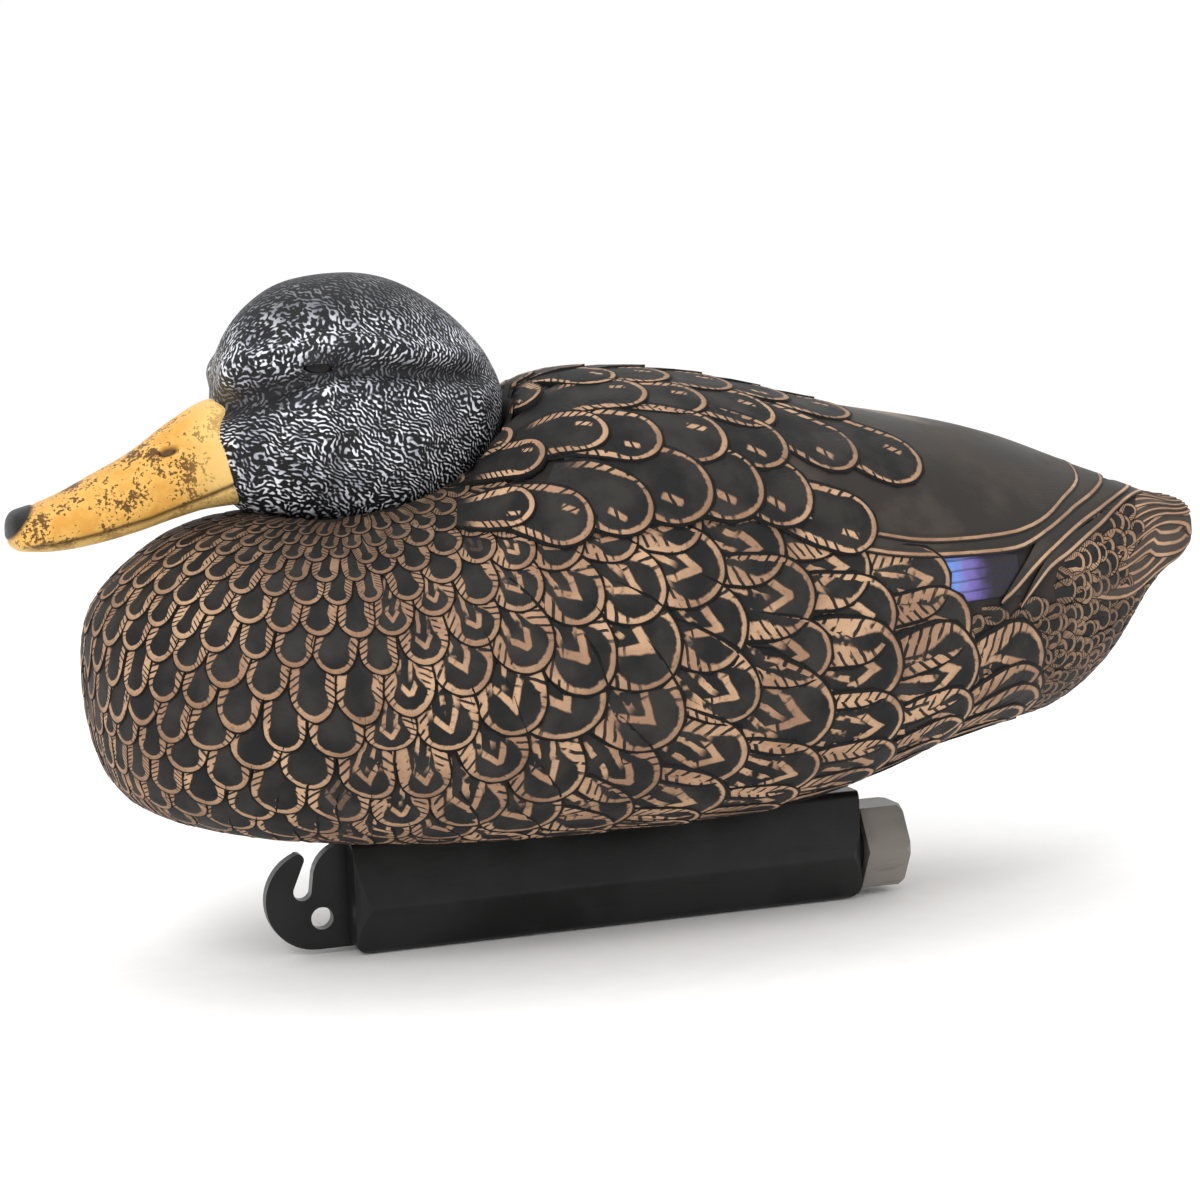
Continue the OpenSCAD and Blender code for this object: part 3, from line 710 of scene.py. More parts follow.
def tail_fan(piece, flip):
    """The tail's feathers as one sheet: c counts the feathers' edges and v runs from root to tip. The
    height is a saw-tooth that rises to each lower edge, and each tip is rounded back by its square.
    The stripes run at equal distances from each feather's lower edge."""
    count = len(TAIL_END) - 1
    c = (np.arange(count)[:, None] + TAIL_SHARE).ravel()
    part = np.tile(TAIL_SHARE, count)
    v = np.concatenate([np.linspace(0, 1, TAIL_ROWS), [1.0]])[:, None]
    edges = np.arange(count + 1)
    root_a, end_a = np.interp(c, edges, TAIL_ROOT), np.interp(c, edges, TAIL_END)
    bow = np.sin(np.pi * v) * smooth(3, 7, c)
    a = np.radians(root_a + (end_a - root_a) * v ** 1.15 + bow)
    tip_s = 0.99 - 0.018 * (2 * part - 1) ** 2 * (1 - smooth(8, 10, c) * 0.3)
    root_s = np.interp(c, edges, TAIL_START)
    s = root_s + (tip_s - root_s) * v
    p, n, _, _ = body_frame(s, a)
    height = 0.15 + TAIL_RISE * part * smooth(0, 0.25, v) + 0 * s
    height[-1] = -0.6
    height[:, -1] = np.minimum(height[:, -1], 0.7)
    q = square_tail(p + n * height[..., None])
    gap = np.linalg.norm(np.diff(q, axis=1, prepend=q[:, :1])[..., 1:], axis=-1)
    back = np.cumsum(gap.reshape(len(v), count, -1)[..., ::-1], axis=-1)
    from_edge = np.concatenate([0 * back[..., :1], back[..., :-1]], axis=-1)[..., ::-1]
    from_edge = from_edge.reshape(gap.shape)[np.minimum(np.arange(len(v)), WIDTH_HELD)]
    from_tip = np.linalg.norm(p - p[-1:], axis=-1)
    f = grid_faces(*q.shape[:2], False)
    obj = build(piece, q.reshape(-1, 3) * (MIRRORED if flip else 1), f if flip else f[:, ::-1])
    uv_map(obj, "quill", np.stack([from_edge.ravel(), from_tip.ravel()], -1))
    return obj


tail_pieces = [tail_fan("tail_" + side, flip) for side, flip in SIDES]

# ---- Body skin --------------------------------------------------------------------------------

def tube_grid(lo, hi, rows, cols):
    """Shares from lo to hi by rows, and angles once round by columns."""
    angles = np.linspace(0, 2 * np.pi, cols, endpoint=False)
    return np.meshgrid(np.linspace(lo, hi, rows), angles, indexing="ij")


def with_ends(values):
    """Values of a tube's grid, followed by those of its two end centres."""
    return np.concatenate([values.reshape(-1, values.shape[-1]), values[0, :1], values[-1, :1]])


BODY_GRID = (0, 1, 300, 240)
body_skin = closed_tube("body_skin", square_tail(clear_of_head(body_point(*tube_grid(*BODY_GRID)))), True)

# ---- Head -------------------------------------------------------------------------------------

EYE = Vector([(a + b) / 2 / MM for a, b in zip(*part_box("left_eye"))])


def head_point(s, t):
    """Head surface: level rings, each an ellipse between the front and back reach of its level and as
    wide as the side line."""
    f, k, w = curve(HEAD_FRONT, s), curve(HEAD_BACK, s), curve(HEAD_SIDE, s)
    return np.stack([NECK_X + (k - f) / 2 + (f + k) / 2 * np.cos(t), w * np.sin(t), head_z(s) + 0 * t], -1)


def hill(d, spread):
    """Bell curve of height 1 at distance 0."""
    return np.exp(-(d / spread) ** 2)


# Height of the eye stripe and of the brow along x, and by height how far the feathering comes
# forward over the bill's root
GROOVE_LINE = [
    (-134, 190), (-126, 192.6), (-112, 198.6), (-104, 201.6), (-92, 202), (-74, 200.5), (-52, 198),
    (-30, 197)]
BROW_LINE = [
    (-134, 200), (-126, 205), (-112, 208.6), (-104, 209), (-92, 208.6), (-74, 206.5), (-52, 203),
    (-30, 200)]
ROOT_PUSH = [
    (150, 0), (155, 7), (163, 7.2), (169, 6.6), (174, 5.8), (180, 5.4), (186, 3.2), (191, 0.4), (196, 0),
    (240, 0)]
# Height of each form over the plain head
GROOVE_DEPTH, BROW_RISE, CHEEK_RISE, FOLD_DEPTH = 3.4, 2.5, 1.8, 1.8
# Middle of the cheek in the side view and its half-widths, and the fold's place
CHEEK_X, CHEEK_Z, CHEEK_LONG, CHEEK_HIGH = -110, 180, 19, 13
FOLD_X = -100
# Lids: radius round the eye, thickness over the bead, and the bead's radius
LID_REACH, LID_THICK, BEAD_RADIUS = 7.2, 0.35, 5.0


def sculpt_head(p, normal):
    """The face: a brow over a sunk stripe through the eye, a full cheek, an upright fold behind it,
    feathering that comes forward round the bill's root, and lids over the eye bead but for a slit.
    Each is a bell curve of the distance from its line, in the side view."""
    x, y, z = p[..., 0], p[..., 1], p[..., 2]
    side = smooth(4, 14, np.abs(y))
    fade = smooth(-36, -58, x)
    groove = hill(z - np.interp(x, *zip(*GROOVE_LINE)), 3.6 + 1.6 * smooth(-112, -128, x)) * side * fade
    brow = hill(z - np.interp(x, *zip(*BROW_LINE)), 4.6) * side * fade
    cheek = hill(np.hypot((x - CHEEK_X) / CHEEK_LONG, (z - CHEEK_Z) / CHEEK_HIGH), 1.0) * side
    fold = hill(x - FOLD_X - 0.1 * (z - 170), 2.6) * smooth(156, 163, z) * smooth(186, 176, z) * side
    out = -GROOVE_DEPTH * groove + BROW_RISE * brow + CHEEK_RISE * cheek - FOLD_DEPTH * fold
    q = p + normal * out[..., None]
    push = np.interp(z, *zip(*ROOT_PUSH)) * smooth(29, 14, np.abs(y)) * smooth(-104, -120, x)
    q[..., 0] -= push
    dx, dz = q[..., 0] - EYE.x, q[..., 2] - EYE.z
    lid = smooth(LID_REACH, 4.6, np.hypot(dx * 0.9, dz))
    slit = smooth(0.8, 1.5, np.hypot(dx * 0.2, dz + 0.05 * dx + 0.3))
    eye_skin = np.abs(EYE.y) + BEAD_RADIUS + LID_THICK - 0.055 * (dx ** 2 + dz ** 2)
    want = np.maximum(eye_skin - np.abs(q[..., 1]), 0) * lid * slit
    q[..., 1] += np.sign(y) * want
    return q, groove, fold, lid


HEAD_GRID = (0.03, 0.998, 290, 320)
head_s, head_t = tube_grid(*HEAD_GRID)
raw = head_point(head_s, head_t)
d_ring = np.roll(raw, -1, 1) - np.roll(raw, 1, 1)
d_level = np.gradient(raw, axis=0)
normals = unit(np.cross(d_ring, d_level))
head_points, groove, fold_mask, lid = sculpt_head(raw, normals)
head_skin = closed_tube("head_skin", head_points, True)
hx, hz = raw[..., 0], raw[..., 2]
crown = smooth(0.64, 0.82, head_s)
lores = smooth(-108, -122, hx) * hill(hz - 193, 5)
root_patch = smooth(-128, -133, hx) * smooth(190, 194, hz)
low = smooth(158, 150, hz)
# Dimming of the head's flecks: darker plumage over the crown and along the eye stripe to the lores, and
# painted shade in the sunk stripe, the fold behind the cheek, round the eye under the brow and at the
# head's lowest part
dim = np.clip(1.25 * groove + 0.7 * lores + 0.9 * crown + 0.7 * fold_mask + 0.6 * low + 0.8 * lid, 0, 1)
# The first two values are used: how dim the flecks are, partly darker plumage and partly painted shade, and
# the patch at the bill's root
colour_attribute(head_skin, "face", with_ends(np.stack([dim, root_patch, 0 * dim, 0 * dim], -1)))

# ---- Bill -------------------------------------------------------------------------------------

bill_lo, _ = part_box("bill")
BILL_ROOT = NECK_X - 34
BILL_TIP = bill_lo.x / MM
MOUTH_LINE = [
    (-210, 147.5), (-189, 148.8), (-176, 151.1), (-159, 154.8), (-142, 160.4), (-130, 164.8), (-115, 168)]
NOSTRIL = (-152, 177)
NOSTRIL_LONG, NOSTRIL_HIGH = 3.6, 1.5
# Depth or height of each form over the plain bill
MOUTH_DEPTH, HOLE_DEPTH, LIP_RISE, NAIL_RISE, NAIL_GROOVE = 0.7, 1.5, 0.45, 0.35, 0.3


def bill_point(s, a):
    """Bill surface: a superellipse section between the bottom and top lines, from the root to the tip."""
    low, high, half = curve(BILL_BOTTOM, s), curve(BILL_TOP, s), curve(BILL_SIDE, s)
    mid = low + (high - low) * BILL_MID
    sn, cs = np.sin(a), np.cos(a)
    p = np.where(sn < 0, 0.75, 0.9)
    x = BILL_ROOT + (BILL_TIP - BILL_ROOT) * eased(s) + 0 * a
    z = mid + bent(sn, p) * np.where(sn < 0, mid - low, high - mid)
    return np.stack([x, half * bent(cs, p), z], -1)


BILL_GRID = (0, 0.997, 260, 200)
bill_raw = bill_point(*tube_grid(*BILL_GRID))
round_it = np.roll(bill_raw, -1, 1) - np.roll(bill_raw, 1, 1)
bill_normal = unit(np.cross(np.gradient(bill_raw, axis=0), round_it))
bx, by, bz = (bill_raw[..., k] for k in range(3))
outward = np.stack([0 * bx, by, bz - 170 + (bx + 130) * -0.25], -1)
bill_normal *= np.sign((bill_normal * outward).sum(-1).mean())
flank_of_bill = smooth(2, 7, np.abs(by))
over_mouth = bz - np.interp(bx, *zip(*MOUTH_LINE))
mouth = hill(over_mouth, 0.9) * flank_of_bill * smooth(-203, -194, bx)
tilted = (bx - NOSTRIL[0]) * 0.97 + (bz - NOSTRIL[1]) * 0.25
upright = -(bx - NOSTRIL[0]) * 0.25 + (bz - NOSTRIL[1]) * 0.97
hole_r = np.hypot(tilted / NOSTRIL_LONG, upright / NOSTRIL_HIGH)
hole = smooth(1.15, 0.6, hole_r) * flank_of_bill
lip = hill(hole_r - 1.6, 0.5) * flank_of_bill
nail_line = bx + 206.5 - 0.80 * (bz - 148)
nail = smooth(0.8, -0.6, nail_line)
nail_edge = hill(nail_line - 0.8, 0.7)
out = -MOUTH_DEPTH * mouth - HOLE_DEPTH * hole + LIP_RISE * lip + NAIL_RISE * nail - NAIL_GROOVE * nail_edge
bill_skin = closed_tube("bill_skin", bill_raw + bill_normal * out[..., None], False)
# Nail, shade of the holes, root and the part below the mouth
marks = [nail, np.clip(hole + 0.9 * mouth, 0, 1), smooth(-150, -132, bx), smooth(3, -3, over_mouth)]
colour_attribute(bill_skin, "marks", with_ends(np.stack(marks, -1)))

# ---- Materials --------------------------------------------------------------------------------

SHINE = 0.22


class Graph:
    """Short names for building the nodes of a material or of a group."""

    def __init__(self, tree, bsdf=None):
        self.tree = tree
        self.bsdf = bsdf
        if bsdf:
            bsdf.inputs["Specular IOR Level"].default_value = SHINE

    def node(self, kind, **settings):
        """A new node with its settings."""
        made = self.tree.nodes.new(kind)
        for key, value in settings.items():
            setattr(made, key, value)
        return made

    def link(self, source, socket):
        """Sets the socket to a number or a colour, or joins another socket to it."""
        if isinstance(source, (int, float)):
            socket.default_value = source
        elif isinstance(source, tuple):
            socket.default_value = source if len(source) == len(socket.default_value) else (*source, 1)
        else:
            self.tree.links.new(source, socket)

    def math(self, op, a, b=0.0, c=0.0):
        """The named operation on the values."""
        made = self.node("ShaderNodeMath", operation=op)
        for k, value in enumerate((a, b, c)):
            self.link(value, made.inputs[k])
        return made.outputs[0]

    def add(self, a, b):
        """a + b."""
        return self.math("ADD", a, b)

    def sub(self, a, b):
        """a - b."""
        return self.math("SUBTRACT", a, b)

    def mul(self, a, b):
        """a times b."""
        return self.math("MULTIPLY", a, b)

    def high(self, a, b):
        """The larger of the two."""
        return self.math("MAXIMUM", a, b)

    def mix(self, factor, a, b):
        """Colour a at factor 0, b at 1."""
        made = self.node("ShaderNodeMix", data_type="RGBA")
        self.link(factor, made.inputs[0])
        self.link(a, made.inputs[6])
        self.link(b, made.inputs[7])
        return made.outputs[2]

    def step(self, value, lo, hi, out_lo=0.0, out_hi=1.0):
        """Smooth step from out_lo at lo to out_hi at hi."""
        made = self.node("ShaderNodeMapRange", interpolation_type="SMOOTHSTEP")
        inputs = {"Value": value, "From Min": lo, "From Max": hi, "To Min": out_lo, "To Max": out_hi}
        for key, source in inputs.items():
            self.link(source, made.inputs[key])
        return made.outputs[0]

    def within(self, value, lo, hi, soft):
        """1 between two limits and 0 outside them, with soft edges."""
        return self.mul(self.step(value, self.sub(lo, soft), self.add(lo, soft)),
                        self.step(value, self.add(hi, soft), self.sub(hi, soft)))

    def place(self):
        """The point in the object, in metres."""
        return self.node("ShaderNodeTexCoord").outputs["Object"]

    def split(self, vector):
        """The three parts of a vector."""
        made = self.node("ShaderNodeSeparateXYZ")
        self.link(vector, made.inputs[0])
        return made.outputs[0], made.outputs[1], made.outputs[2]

    def vector(self, x, y, z=0.0):
        """A vector from its parts."""
        made = self.node("ShaderNodeCombineXYZ")
        for k, value in enumerate((x, y, z)):
            self.link(value, made.inputs[k])
        return made.outputs[0]

    def attribute(self, name):
        """The four values of a colour attribute."""
        att = self.node("ShaderNodeAttribute", attribute_name=name)
        col = self.node("ShaderNodeSeparateColor")
        self.link(att.outputs["Color"], col.inputs[0])
        return col.outputs[0], col.outputs[1], col.outputs[2], att.outputs["Alpha"]

    def noise(self, vector, scale, detail=2.0, rough=0.5):
        """Smooth noise from 0 to 1."""
        made = self.node("ShaderNodeTexNoise")
        self.link(vector, made.inputs["Vector"])
        self.link(scale, made.inputs["Scale"])
        made.inputs["Detail"].default_value = detail
        made.inputs["Roughness"].default_value = rough
        return made.outputs["Fac"]

    def shake(self, vector, scale, size):
        """Noise round 0: (noise - 0.5) times the size."""
        return self.mul(self.sub(self.noise(vector, scale, 2.0), 0.5), size)

    def bump(self, height, strength, distance):
        """The normal tilted by the slope of the height."""
        made = self.node("ShaderNodeBump")
        self.link(height, made.inputs["Height"])
        made.inputs["Strength"].default_value = strength
        made.inputs["Distance"].default_value = distance
        return made.outputs[0]

    def group(self, tree, **values):
        """A use of a node group, with its inputs by name."""
        made = self.node("ShaderNodeGroup", node_tree=tree)
        for key, value in values.items():
            self.link(value, made.inputs[key.replace("_", " ").title()])
        return made.outputs

    def finish(self, colour, rough, normal=None):
        """Joins colour, roughness and normal to the shader."""
        self.link(colour, self.bsdf.inputs["Base Color"])
        self.link(rough, self.bsdf.inputs["Roughness"])
        if normal is not None:
            self.link(normal, self.bsdf.inputs["Normal"])


def new_material(name):
    """A material with a principled shader, and its graph."""
    material = bpy.data.materials.new(name)
    material.use_nodes = True
    return material, Graph(material.node_tree, material.node_tree.nodes["Principled BSDF"])


def new_group(name, inputs, outputs):
    """An empty shader node group with named float, vector and colour sockets."""
    tree = bpy.data.node_groups.new(name, "ShaderNodeTree")
    for label, kind in inputs:
        tree.interface.new_socket(label, in_out="INPUT", socket_type=kind)
    for label, kind in outputs:
        tree.interface.new_socket(label, in_out="OUTPUT", socket_type=kind)
    g = Graph(tree)
    return tree, g, g.node("NodeGroupInput").outputs, g.node("NodeGroupOutput").inputs


def linear(r, g, b):
    """Linear colour of an 8-bit screen colour."""
    shares = (r / 255, g / 255, b / 255)
    return tuple(c / 12.92 if c <= 0.04045 else ((c + 0.055) / 1.055) ** 2.4 for c in shares)


NUMBER, VECTOR = "NodeSocketFloat", "NodeSocketVector"


def plumage_group():
    """Tan and dark paint of the carved plumage, broken up by blotches, dry-brush specks and the fine
    grain of the moulding."""
    tree, g, source, result = new_group(
        "plumage_paint", [("Tan", NUMBER), ("Place", VECTOR), ("Dim", NUMBER)],
        [("Colour", "NodeSocketColor"), ("Patch", NUMBER), ("Grain", NUMBER)])
    place, tan = source["Place"], source["Tan"]
    patch = g.noise(place, 34.0, 4.0, 0.6)
    brush = g.noise(place, 520.0, 3.0, 0.65)
    worn = g.mul(tan, g.step(brush, 0.28, 0.42, 0.55, 1.0))
    worn = g.mul(worn, g.sub(1.0, g.mul(source["Dim"], 0.55)))
    tan_colour = g.mix(g.step(patch, 0.35, 0.68), linear(146, 112, 88), linear(190, 154, 122))
    clouds = g.step(g.noise(place, 75.0, 4.0), 0.35, 0.7)
    dark_colour = g.mix(clouds, linear(20, 20, 20), linear(44, 41, 38))
    g.link(g.mix(worn, dark_colour, tan_colour), result["Colour"])
    g.link(patch, result["Patch"])
    g.link(g.add(g.mul(brush, 0.35), g.mul(g.noise(place, 1400.0, 2.0), 0.3)), result["Grain"])
    return tree


def moulding_group():
    """Fine surface of moulded plastic: slow tone changes, rub marks and grain."""
    tree, g, source, result = new_group(
        "moulded_surface", [("Place", VECTOR), ("Patch Scale", NUMBER), ("Grain Scale", NUMBER)],
        [("Tone", NUMBER), ("Rub", NUMBER), ("Grain", NUMBER)])
    place = source["Place"]
    x, y, z = g.split(place)
    streaks = g.noise(g.vector(g.mul(x, 0.25), y, g.mul(z, 1.6)), 260.0, 3.0)
    g.link(g.step(g.noise(place, source["Patch Scale"], 4.0), 0.35, 0.65), result["Tone"])
    g.link(g.step(streaks, 0.58, 0.72), result["Rub"])
    g.link(g.noise(place, source["Grain Scale"], 3.0, 0.6), result["Grain"])
    return tree


PLUMAGE, MOULDED = plumage_group(), moulding_group()
# Black of the painted shade line along the rims of the feathers, quills and tail feathers
FEATHER_EDGE_SHADE = linear(12, 11, 10)


def feather_material():
    """Contour feathers, drawn by the distance from the rounded tip: a black rim of painted shade, a tan
    border that widens along the sides and is cut there by slits, a dark arch, a tan V inside it, and tan
    streaks towards the root. Plain feathers have two tan flecks and a border that fades to the root."""
    material, g = new_material("feather_paint")
    u, v, _ = g.split(g.node("ShaderNodeUVMap", uv_map="feather").outputs[0])
    rand, border, band, dim = g.attribute("look")
    place = g.place()
    shake = g.shake(place, 150.0, 0.30)
    fine = g.shake(place, 620.0, 0.13)
    x = g.math("ABSOLUTE", u)
    high_v = g.math("MAXIMUM", v, 0.0)
    r_clean = g.math("SQRT", g.add(g.mul(x, x), g.mul(high_v, high_v)))
    r = g.add(r_clean, g.mul(fine, 0.55))
    side = g.step(v, 0.45, -0.25)
    plain = g.step(band, -0.2, -0.6)
    edge_w = g.mul(border, g.add(1.0, g.mul(side, g.add(0.9, g.mul(g.high(band, 0.0), 0.9)))))
    inner_edge = g.sub(0.93, edge_w)
    # Rim of the feather, painted black as shade round its edge and also cut in as a groove
    rim = g.step(r_clean, 0.905, 0.935)
    wide = g.mul(g.step(v, 0.75, -0.05), g.mul(band, 0.07))
    limit = g.sub(inner_edge, wide)
    outer = g.step(g.add(r, g.mul(shake, 0.3)), g.sub(limit, 0.025), g.add(limit, 0.025))
    outer = g.mul(outer, g.sub(1.0, rim))
    outer = g.mul(outer, g.sub(1.0, g.mul(plain, g.step(v, -0.9, -1.6))))
    slant = g.add(v, g.add(g.mul(x, -0.62), g.mul(shake, 0.5)))
    comb = g.math("FRACT", g.add(g.mul(slant, g.add(3.2, g.mul(rand, 1.6))), g.mul(rand, 7.0)))
    cut_where = g.mul(g.step(v, 0.72, 0.35), g.step(x, 0.38, 0.55))
    slit = g.mul(g.mul(g.step(comb, 0.36, 0.26), cut_where), g.step(g.noise(place, 210.0, 1.0), 0.38, 0.45))
    thick = g.add(g.step(v, 0.0, 0.7, 0.15, 0.37), g.mul(rand, 0.05))
    arch = g.sub(limit, thick)
    inside = g.step(g.add(r, g.mul(shake, 0.3)), g.add(arch, 0.025), g.sub(arch, 0.025))
    arrow = g.add(g.add(x, g.mul(v, 0.72)), g.mul(shake, 0.5))
    point = g.add(0.10, g.mul(rand, 0.08))
    wedge = g.within(arrow, point, g.add(point, 0.21), 0.025)
    hair = g.add(g.add(g.mul(u, 2.4), g.mul(rand, 5.0)), g.add(g.mul(v, 0.8), g.mul(shake, 1.6)))
    hair = g.math("FRACT", hair)
    gate = g.step(g.noise(place, 230.0, 1.0), 0.40, 0.50)
    streaks = g.mul(g.mul(g.step(hair, 0.58, 0.68), gate), g.step(v, 0.0, -0.25))
    streaks = g.mul(streaks, g.mul(g.step(band, 0.2, 0.6), g.sub(1.0, slit)))
    cuts = g.mul(g.step(comb, 0.30, 0.20), g.step(v, 0.12, -0.12))
    inner = g.mul(g.mul(g.mul(wedge, inside), g.sub(1.0, cuts)), g.step(band, 0.2, 0.6))
    below = g.mul(u, g.step(rand, 0.49, 0.51, -1.0, 1.0))
    flecks = g.mul(g.within(g.add(below, g.mul(shake, 0.3)), 0.24, 0.42, 0.03),
                   g.within(g.add(v, g.mul(shake, 0.8)), 0.0, 0.42, 0.04))
    flecks = g.mul(g.mul(flecks, plain), g.step(comb, 0.25, 0.32))
    tan = g.high(g.mul(outer, g.sub(1.0, slit)), g.high(g.high(inner, flecks), streaks))
    paint = g.group(PLUMAGE, tan=tan, place=place, dim=dim)
    colour = g.mix(rim, paint["Colour"], FEATHER_EDGE_SHADE)
    barbs = g.math("SINE", g.mul(slant, 95.0))
    carved = g.sub(g.mul(tan, 0.55), g.add(g.mul(rim, 0.8), g.mul(slit, 0.5)))
    height = g.add(g.add(carved, g.mul(barbs, 0.05)), g.mul(paint["Grain"], 0.3))
    g.finish(colour, g.step(paint["Patch"], 0.3, 0.7, 0.55, 0.72), g.bump(height, 0.75, 0.0007))
    return material


def quill_material():
    """Long wing feathers: dark brown with a thin tan line near the edge and a black line of painted shade
    outside it, a soft shade inside it, and one pale streak along the outer feather."""
    material, g = new_material("quill_paint")
    edge, run, _ = g.split(g.node("ShaderNodeUVMap", uv_map="quill").outputs[0])
    place = g.place()
    x, _, z = g.split(place)
    shake = g.shake(place, 130.0, 0.8)
    line = g.within(g.add(edge, g.mul(shake, 0.5)), 0.75, 1.95, 0.18)
    # Black painted shade along the quill's lower edge
    rim = g.step(edge, 0.6, 0.25)
    shadow = g.within(edge, 2.2, 3.3, 0.5)
    mottle = g.step(g.noise(place, 42.0, 5.0, 0.6), 0.42, 0.66)
    base = g.mix(mottle, linear(40, 36, 32), linear(60, 54, 48))
    along = g.sub(z, g.add(0.1845, g.mul(g.sub(x, 0.083), -0.30)))
    streak = g.mul(g.within(along, -0.0022, 0.0012, 0.0010),
                   g.mul(g.step(x, 0.074, 0.088), g.step(x, 0.124, 0.108)))
    base = g.mix(g.mul(streak, 0.55), base, linear(150, 128, 106))
    paint = g.group(PLUMAGE, tan=line, place=place, dim=0.0)
    colour = g.mix(line, base, paint["Colour"])
    colour = g.mix(g.mul(shadow, 0.45), colour, linear(34, 31, 29))
    colour = g.mix(rim, colour, FEATHER_EDGE_SHADE)
    barbs = g.math("SINE", g.add(g.mul(edge, 5.0), g.mul(run, 2.2)))
    height = g.add(g.add(g.mul(line, 0.6), g.mul(barbs, 0.03)), g.mul(paint["Grain"], 0.35))
    g.finish(colour, g.step(mottle, 0.0, 1.0, 0.46, 0.6), g.bump(height, 0.6, 0.0005))
    return material


STRIPE_GAP = 4.0


def tail_material():
    """Tail feathers: dark, with tan stripes 4 mm apart, measured from each feather's lower edge."""
    material, g = new_material("tail_paint")
    edge, _, _ = g.split(g.node("ShaderNodeUVMap", uv_map="quill").outputs[0])
    place = g.place()
    shake = g.shake(place, 300.0, 0.4)
    stripe = g.mul(g.math("FRACT", g.mul(edge, 1 / STRIPE_GAP)), STRIPE_GAP)
    line = g.within(g.add(stripe, shake), 0.45, 1.8, 0.25)
    paint = g.group(PLUMAGE, tan=line, place=place, dim=0.0)
    base = g.mix(g.noise(place, 90.0, 4.0), linear(44, 39, 36), linear(78, 68, 60))
    # Black painted shade along each tail feather's lower edge
    colour = g.mix(g.step(edge, 0.35, 0.1), g.mix(line, base, paint["Colour"]), FEATHER_EDGE_SHADE)
    height = g.add(g.mul(line, 0.5), g.mul(paint["Grain"], 0.4))
    g.finish(colour, 0.6, g.bump(height, 0.6, 0.0005))
    return material


def band_material():
    """The wing's coloured band: blue at the front, violet, then nearly black, crossed by fine dark
    lines along the feathers."""
    material, g = new_material("wing_band_paint")
    edge, _, _ = g.split(g.node("ShaderNodeUVMap", uv_map="quill").outputs[0])
    place = g.place()
    x, _, _ = g.split(place)
    hue = g.add(x, g.shake(place, 220.0, 0.006))
    colour = g.mix(g.step(hue, 0.103, 0.110), linear(92, 136, 214), linear(104, 86, 158))
    colour = g.mix(g.step(hue, 0.110, 0.121), colour, linear(38, 34, 38))
    lines = g.math("FRACT", g.add(g.mul(edge, 0.27), g.mul(g.noise(place, 120.0, 1.0), 0.3)))
    dark = g.mul(g.step(lines, 0.26, 0.12), 0.75)
    colour = g.mix(dark, colour, linear(34, 34, 60))
    paint = g.group(MOULDED, place=place, patch_scale=60.0, grain_scale=900.0)
    front = g.step(hue, 0.117, 0.108)
    colour = g.mix(g.mul(g.mul(paint["Tone"], 0.25), front), colour, linear(150, 170, 225))
    height = g.sub(paint["Grain"], g.mul(dark, 0.8))
    g.finish(colour, g.step(paint["Tone"], 0.0, 1.0, 0.34, 0.46), g.bump(height, 0.5, 0.0004))
    return material


def head_material():
    """Head: near-black with raised pale flecks, the crests of short waves that lie level on the cheeks and
    upright over the brow, dimmed over the crown and in the eye stripe, which are darker plumage, with
    painted shade also dimming the sunk stripe, the folds, the lids round the eye and the head's lowest
    part."""
    material, g = new_material("head_paint")
    dim, root, _, _ = g.attribute("face")
    place = g.place()
    x, y, z = g.split(place)
    warp = g.shake(place, 60.0, 0.006)
    lie = g.vector(g.add(x, warp), g.add(y, warp), g.add(z, warp))
    waves = []
    for across in ((0.2, 0.0, 1.0), (1.0, 0.3, 0.35)):
        made = g.node("ShaderNodeTexGabor", gabor_type="3D")
        g.link(lie, made.inputs["Vector"])
        for label, value in (("Scale", 370.0), ("Frequency", 2.0), ("Anisotropy", 0.62)):
            made.inputs[label].default_value = value
        made.inputs["Orientation"].default_value = across
        waves.append(made.outputs["Value"])
    upper = g.step(g.add(z, g.mul(x, -0.1)), 0.196, 0.206)
    wave = g.add(g.mul(waves[0], g.sub(1.0, upper)), g.mul(waves[1], upper))
    ridge = g.step(wave, 0.505, 0.60)
    # Flecks lowered by dim: darker plumage over the crown and eye stripe, painted shade in the sunk stripe,
    # folds, round the eye and low on the head
    pale = g.mul(ridge, g.sub(1.0, g.mul(dim, 0.86)))
    base = g.mix(g.noise(place, 60.0, 4.0), linear(16, 16, 18), linear(30, 30, 33))
    base = g.mix(g.mul(root, 0.7), base, linear(74, 66, 44))
    clouds = g.step(g.noise(place, 110.0, 3.0), 0.35, 0.65)
    fleck = g.mix(clouds, linear(156, 158, 168), linear(232, 233, 240))
    colour = g.mix(pale, base, fleck)
    height = g.add(g.mul(ridge, g.sub(1.0, g.mul(dim, 0.5))), g.mul(g.noise(place, 1200.0, 2.0), 0.15))
    g.finish(colour, g.step(pale, 0.0, 1.0, 0.55, 0.68), g.bump(height, 0.9, 0.0009))
    return material


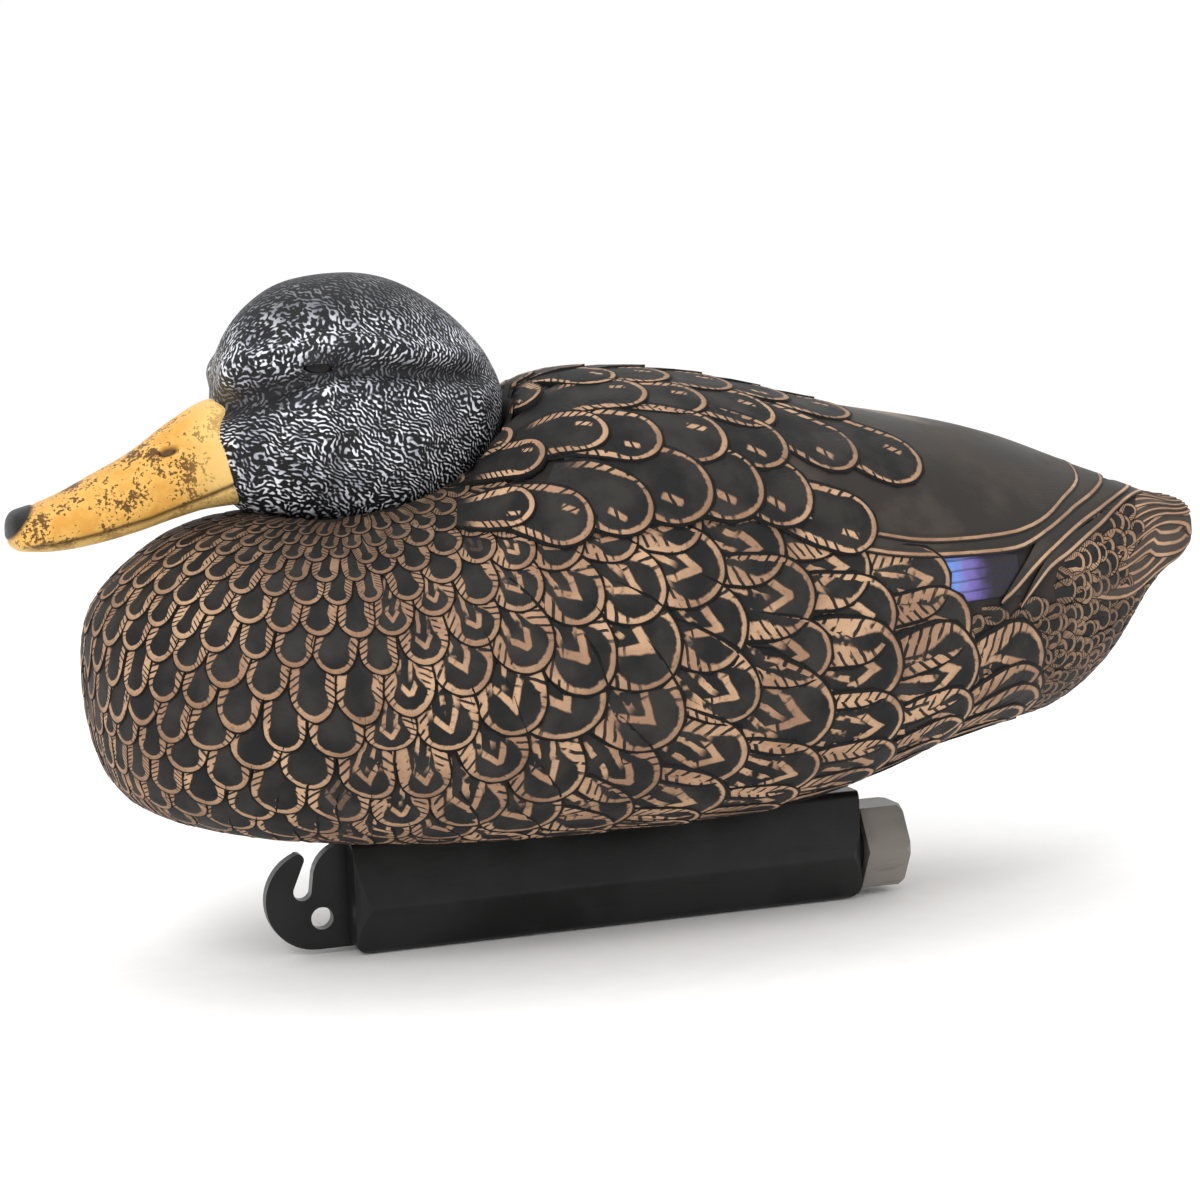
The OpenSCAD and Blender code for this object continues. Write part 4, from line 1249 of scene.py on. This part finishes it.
def bill_material():
    """Bill: orange-yellow, paler at the root and along the mouth, brown specks and stains over the
    middle, black nail, nostrils and mouth line in shade."""
    material, g = new_material("bill_paint")
    nail, hole, rear, below = g.attribute("marks")
    place = g.place()
    stain = g.noise(place, 85.0, 5.0, 0.65)
    specks = g.noise(place, 880.0, 3.0, 0.6)
    base = g.mix(g.step(stain, 0.35, 0.65), linear(206, 150, 66), linear(230, 182, 98))
    base = g.mix(g.mul(g.high(rear, below), 0.7), base, linear(240, 206, 132))
    open_part = g.sub(1.0, g.mul(g.high(rear, below), 0.65))
    brown = g.mul(g.step(g.add(specks, g.mul(g.sub(stain, 0.5), 1.2)), 0.56, 0.62), open_part)
    wash = g.mul(g.step(stain, 0.50, 0.72), g.mul(open_part, 0.55))
    colour = g.mix(wash, base, linear(176, 112, 44))
    colour = g.mix(g.mul(brown, 0.9), colour, linear(72, 44, 20))
    colour = g.mix(g.mul(hole, 0.9), colour, linear(44, 26, 14))
    colour = g.mix(nail, colour, linear(26, 24, 23))
    height = g.sub(g.mul(g.noise(place, 800.0, 3.0), 0.4), g.mul(brown, 0.5))
    g.finish(colour, g.step(stain, 0.3, 0.7, 0.42, 0.56), g.bump(height, 0.6, 0.0006))
    return material


GRAIN_SCALE, GRAIN_DEPTH = 600.0, 0.0004


def plain_material(name, lo, hi, rough, patch=80.0, bump=0.2):
    """Moulded or plain finish between two tones, with rub marks and grain."""
    material, g = new_material(name)
    surface = g.group(MOULDED, place=g.place(), patch_scale=patch, grain_scale=GRAIN_SCALE)
    tone = g.mul(surface["Tone"], g.sub(1.0, g.mul(surface["Rub"], 0.4)))
    g.finish(g.mix(tone, lo, hi), g.step(surface["Tone"], 0.0, 1.0, rough - 0.05, rough + 0.05),
             g.bump(surface["Grain"], bump, GRAIN_DEPTH))
    return material


def finish_piece(obj, material, body, slot, *nodes):
    """Puts on the material, hangs the piece under the empty of the body it rides on, and hides the nodes it
    stands for.
    """
    obj.data.materials.append(material)
    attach(obj, body)
    if nodes:
        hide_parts(*nodes)


for paint, pieces in ((feather_material(), feather_pieces), (quill_material(), wing_pieces),
                      (tail_material(), tail_pieces), (band_material(), band_pieces)):
    for obj in pieces:
        finish_piece(obj, paint, "decoy", "body_paint")
skin_paint = plain_material("skin_paint", linear(24, 22, 20), linear(44, 38, 34), 0.7)
finish_piece(body_skin, skin_paint, "decoy", "body_paint", "body_shell")
finish_piece(head_skin, head_material(), "head", "head_paint", "head_shell")
finish_piece(bill_skin, bill_material(), "head", "bill_paint", "bill")

# Darker and paler tone, roughness, and where they differ the scale of the tone changes, the grain's
# depth, and the nodes that have the finish
FINISHES = {
    "keel_plastic": ((17, 18, 18), (32, 33, 33), 0.33, 30.0, 0.15, ["keel_shell"]),
    "cap_plastic": ((98, 95, 90), (132, 127, 121), 0.3, 30.0, 0.15, ["keel_cap"]),
    "rubber": ((18, 18, 18), (32, 32, 32), 0.8, 80.0, 0.2,
               ["vent_plug", "keel_washers", "cap_gasket", "friction_ring"]),
    "steel": ((150, 152, 155), (185, 187, 190), 0.35, 80.0, 0.2, ["keel_screws", "neck_screw"]),
    "eye_gloss": ((5, 4, 4), (14, 10, 8), 0.24, 80.0, 0.02, ["left_eye", "right_eye"]),
    "sand": ((168, 142, 104), (214, 190, 150), 0.9, 900.0, 0.8, ["sand_ballast"]),
    "socket_plastic": ((40, 42, 44), (56, 58, 60), 0.5, 80.0, 0.2, ["neck_socket", "neck_post"])}
for name, (lo, hi, rough, patch, bump, nodes) in FINISHES.items():
    material = plain_material(name, linear(*lo), linear(*hi), rough, patch, bump)
    if name == "steel":
        material.node_tree.nodes["Principled BSDF"].inputs["Metallic"].default_value = 1.0
    for node in nodes:
        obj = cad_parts[node]
        obj.data.materials.clear()
        obj.data.materials.append(material)
floor.data.materials.append(plain_material("floor_paint", (0.97,) * 3, (0.985,) * 3, 0.9))
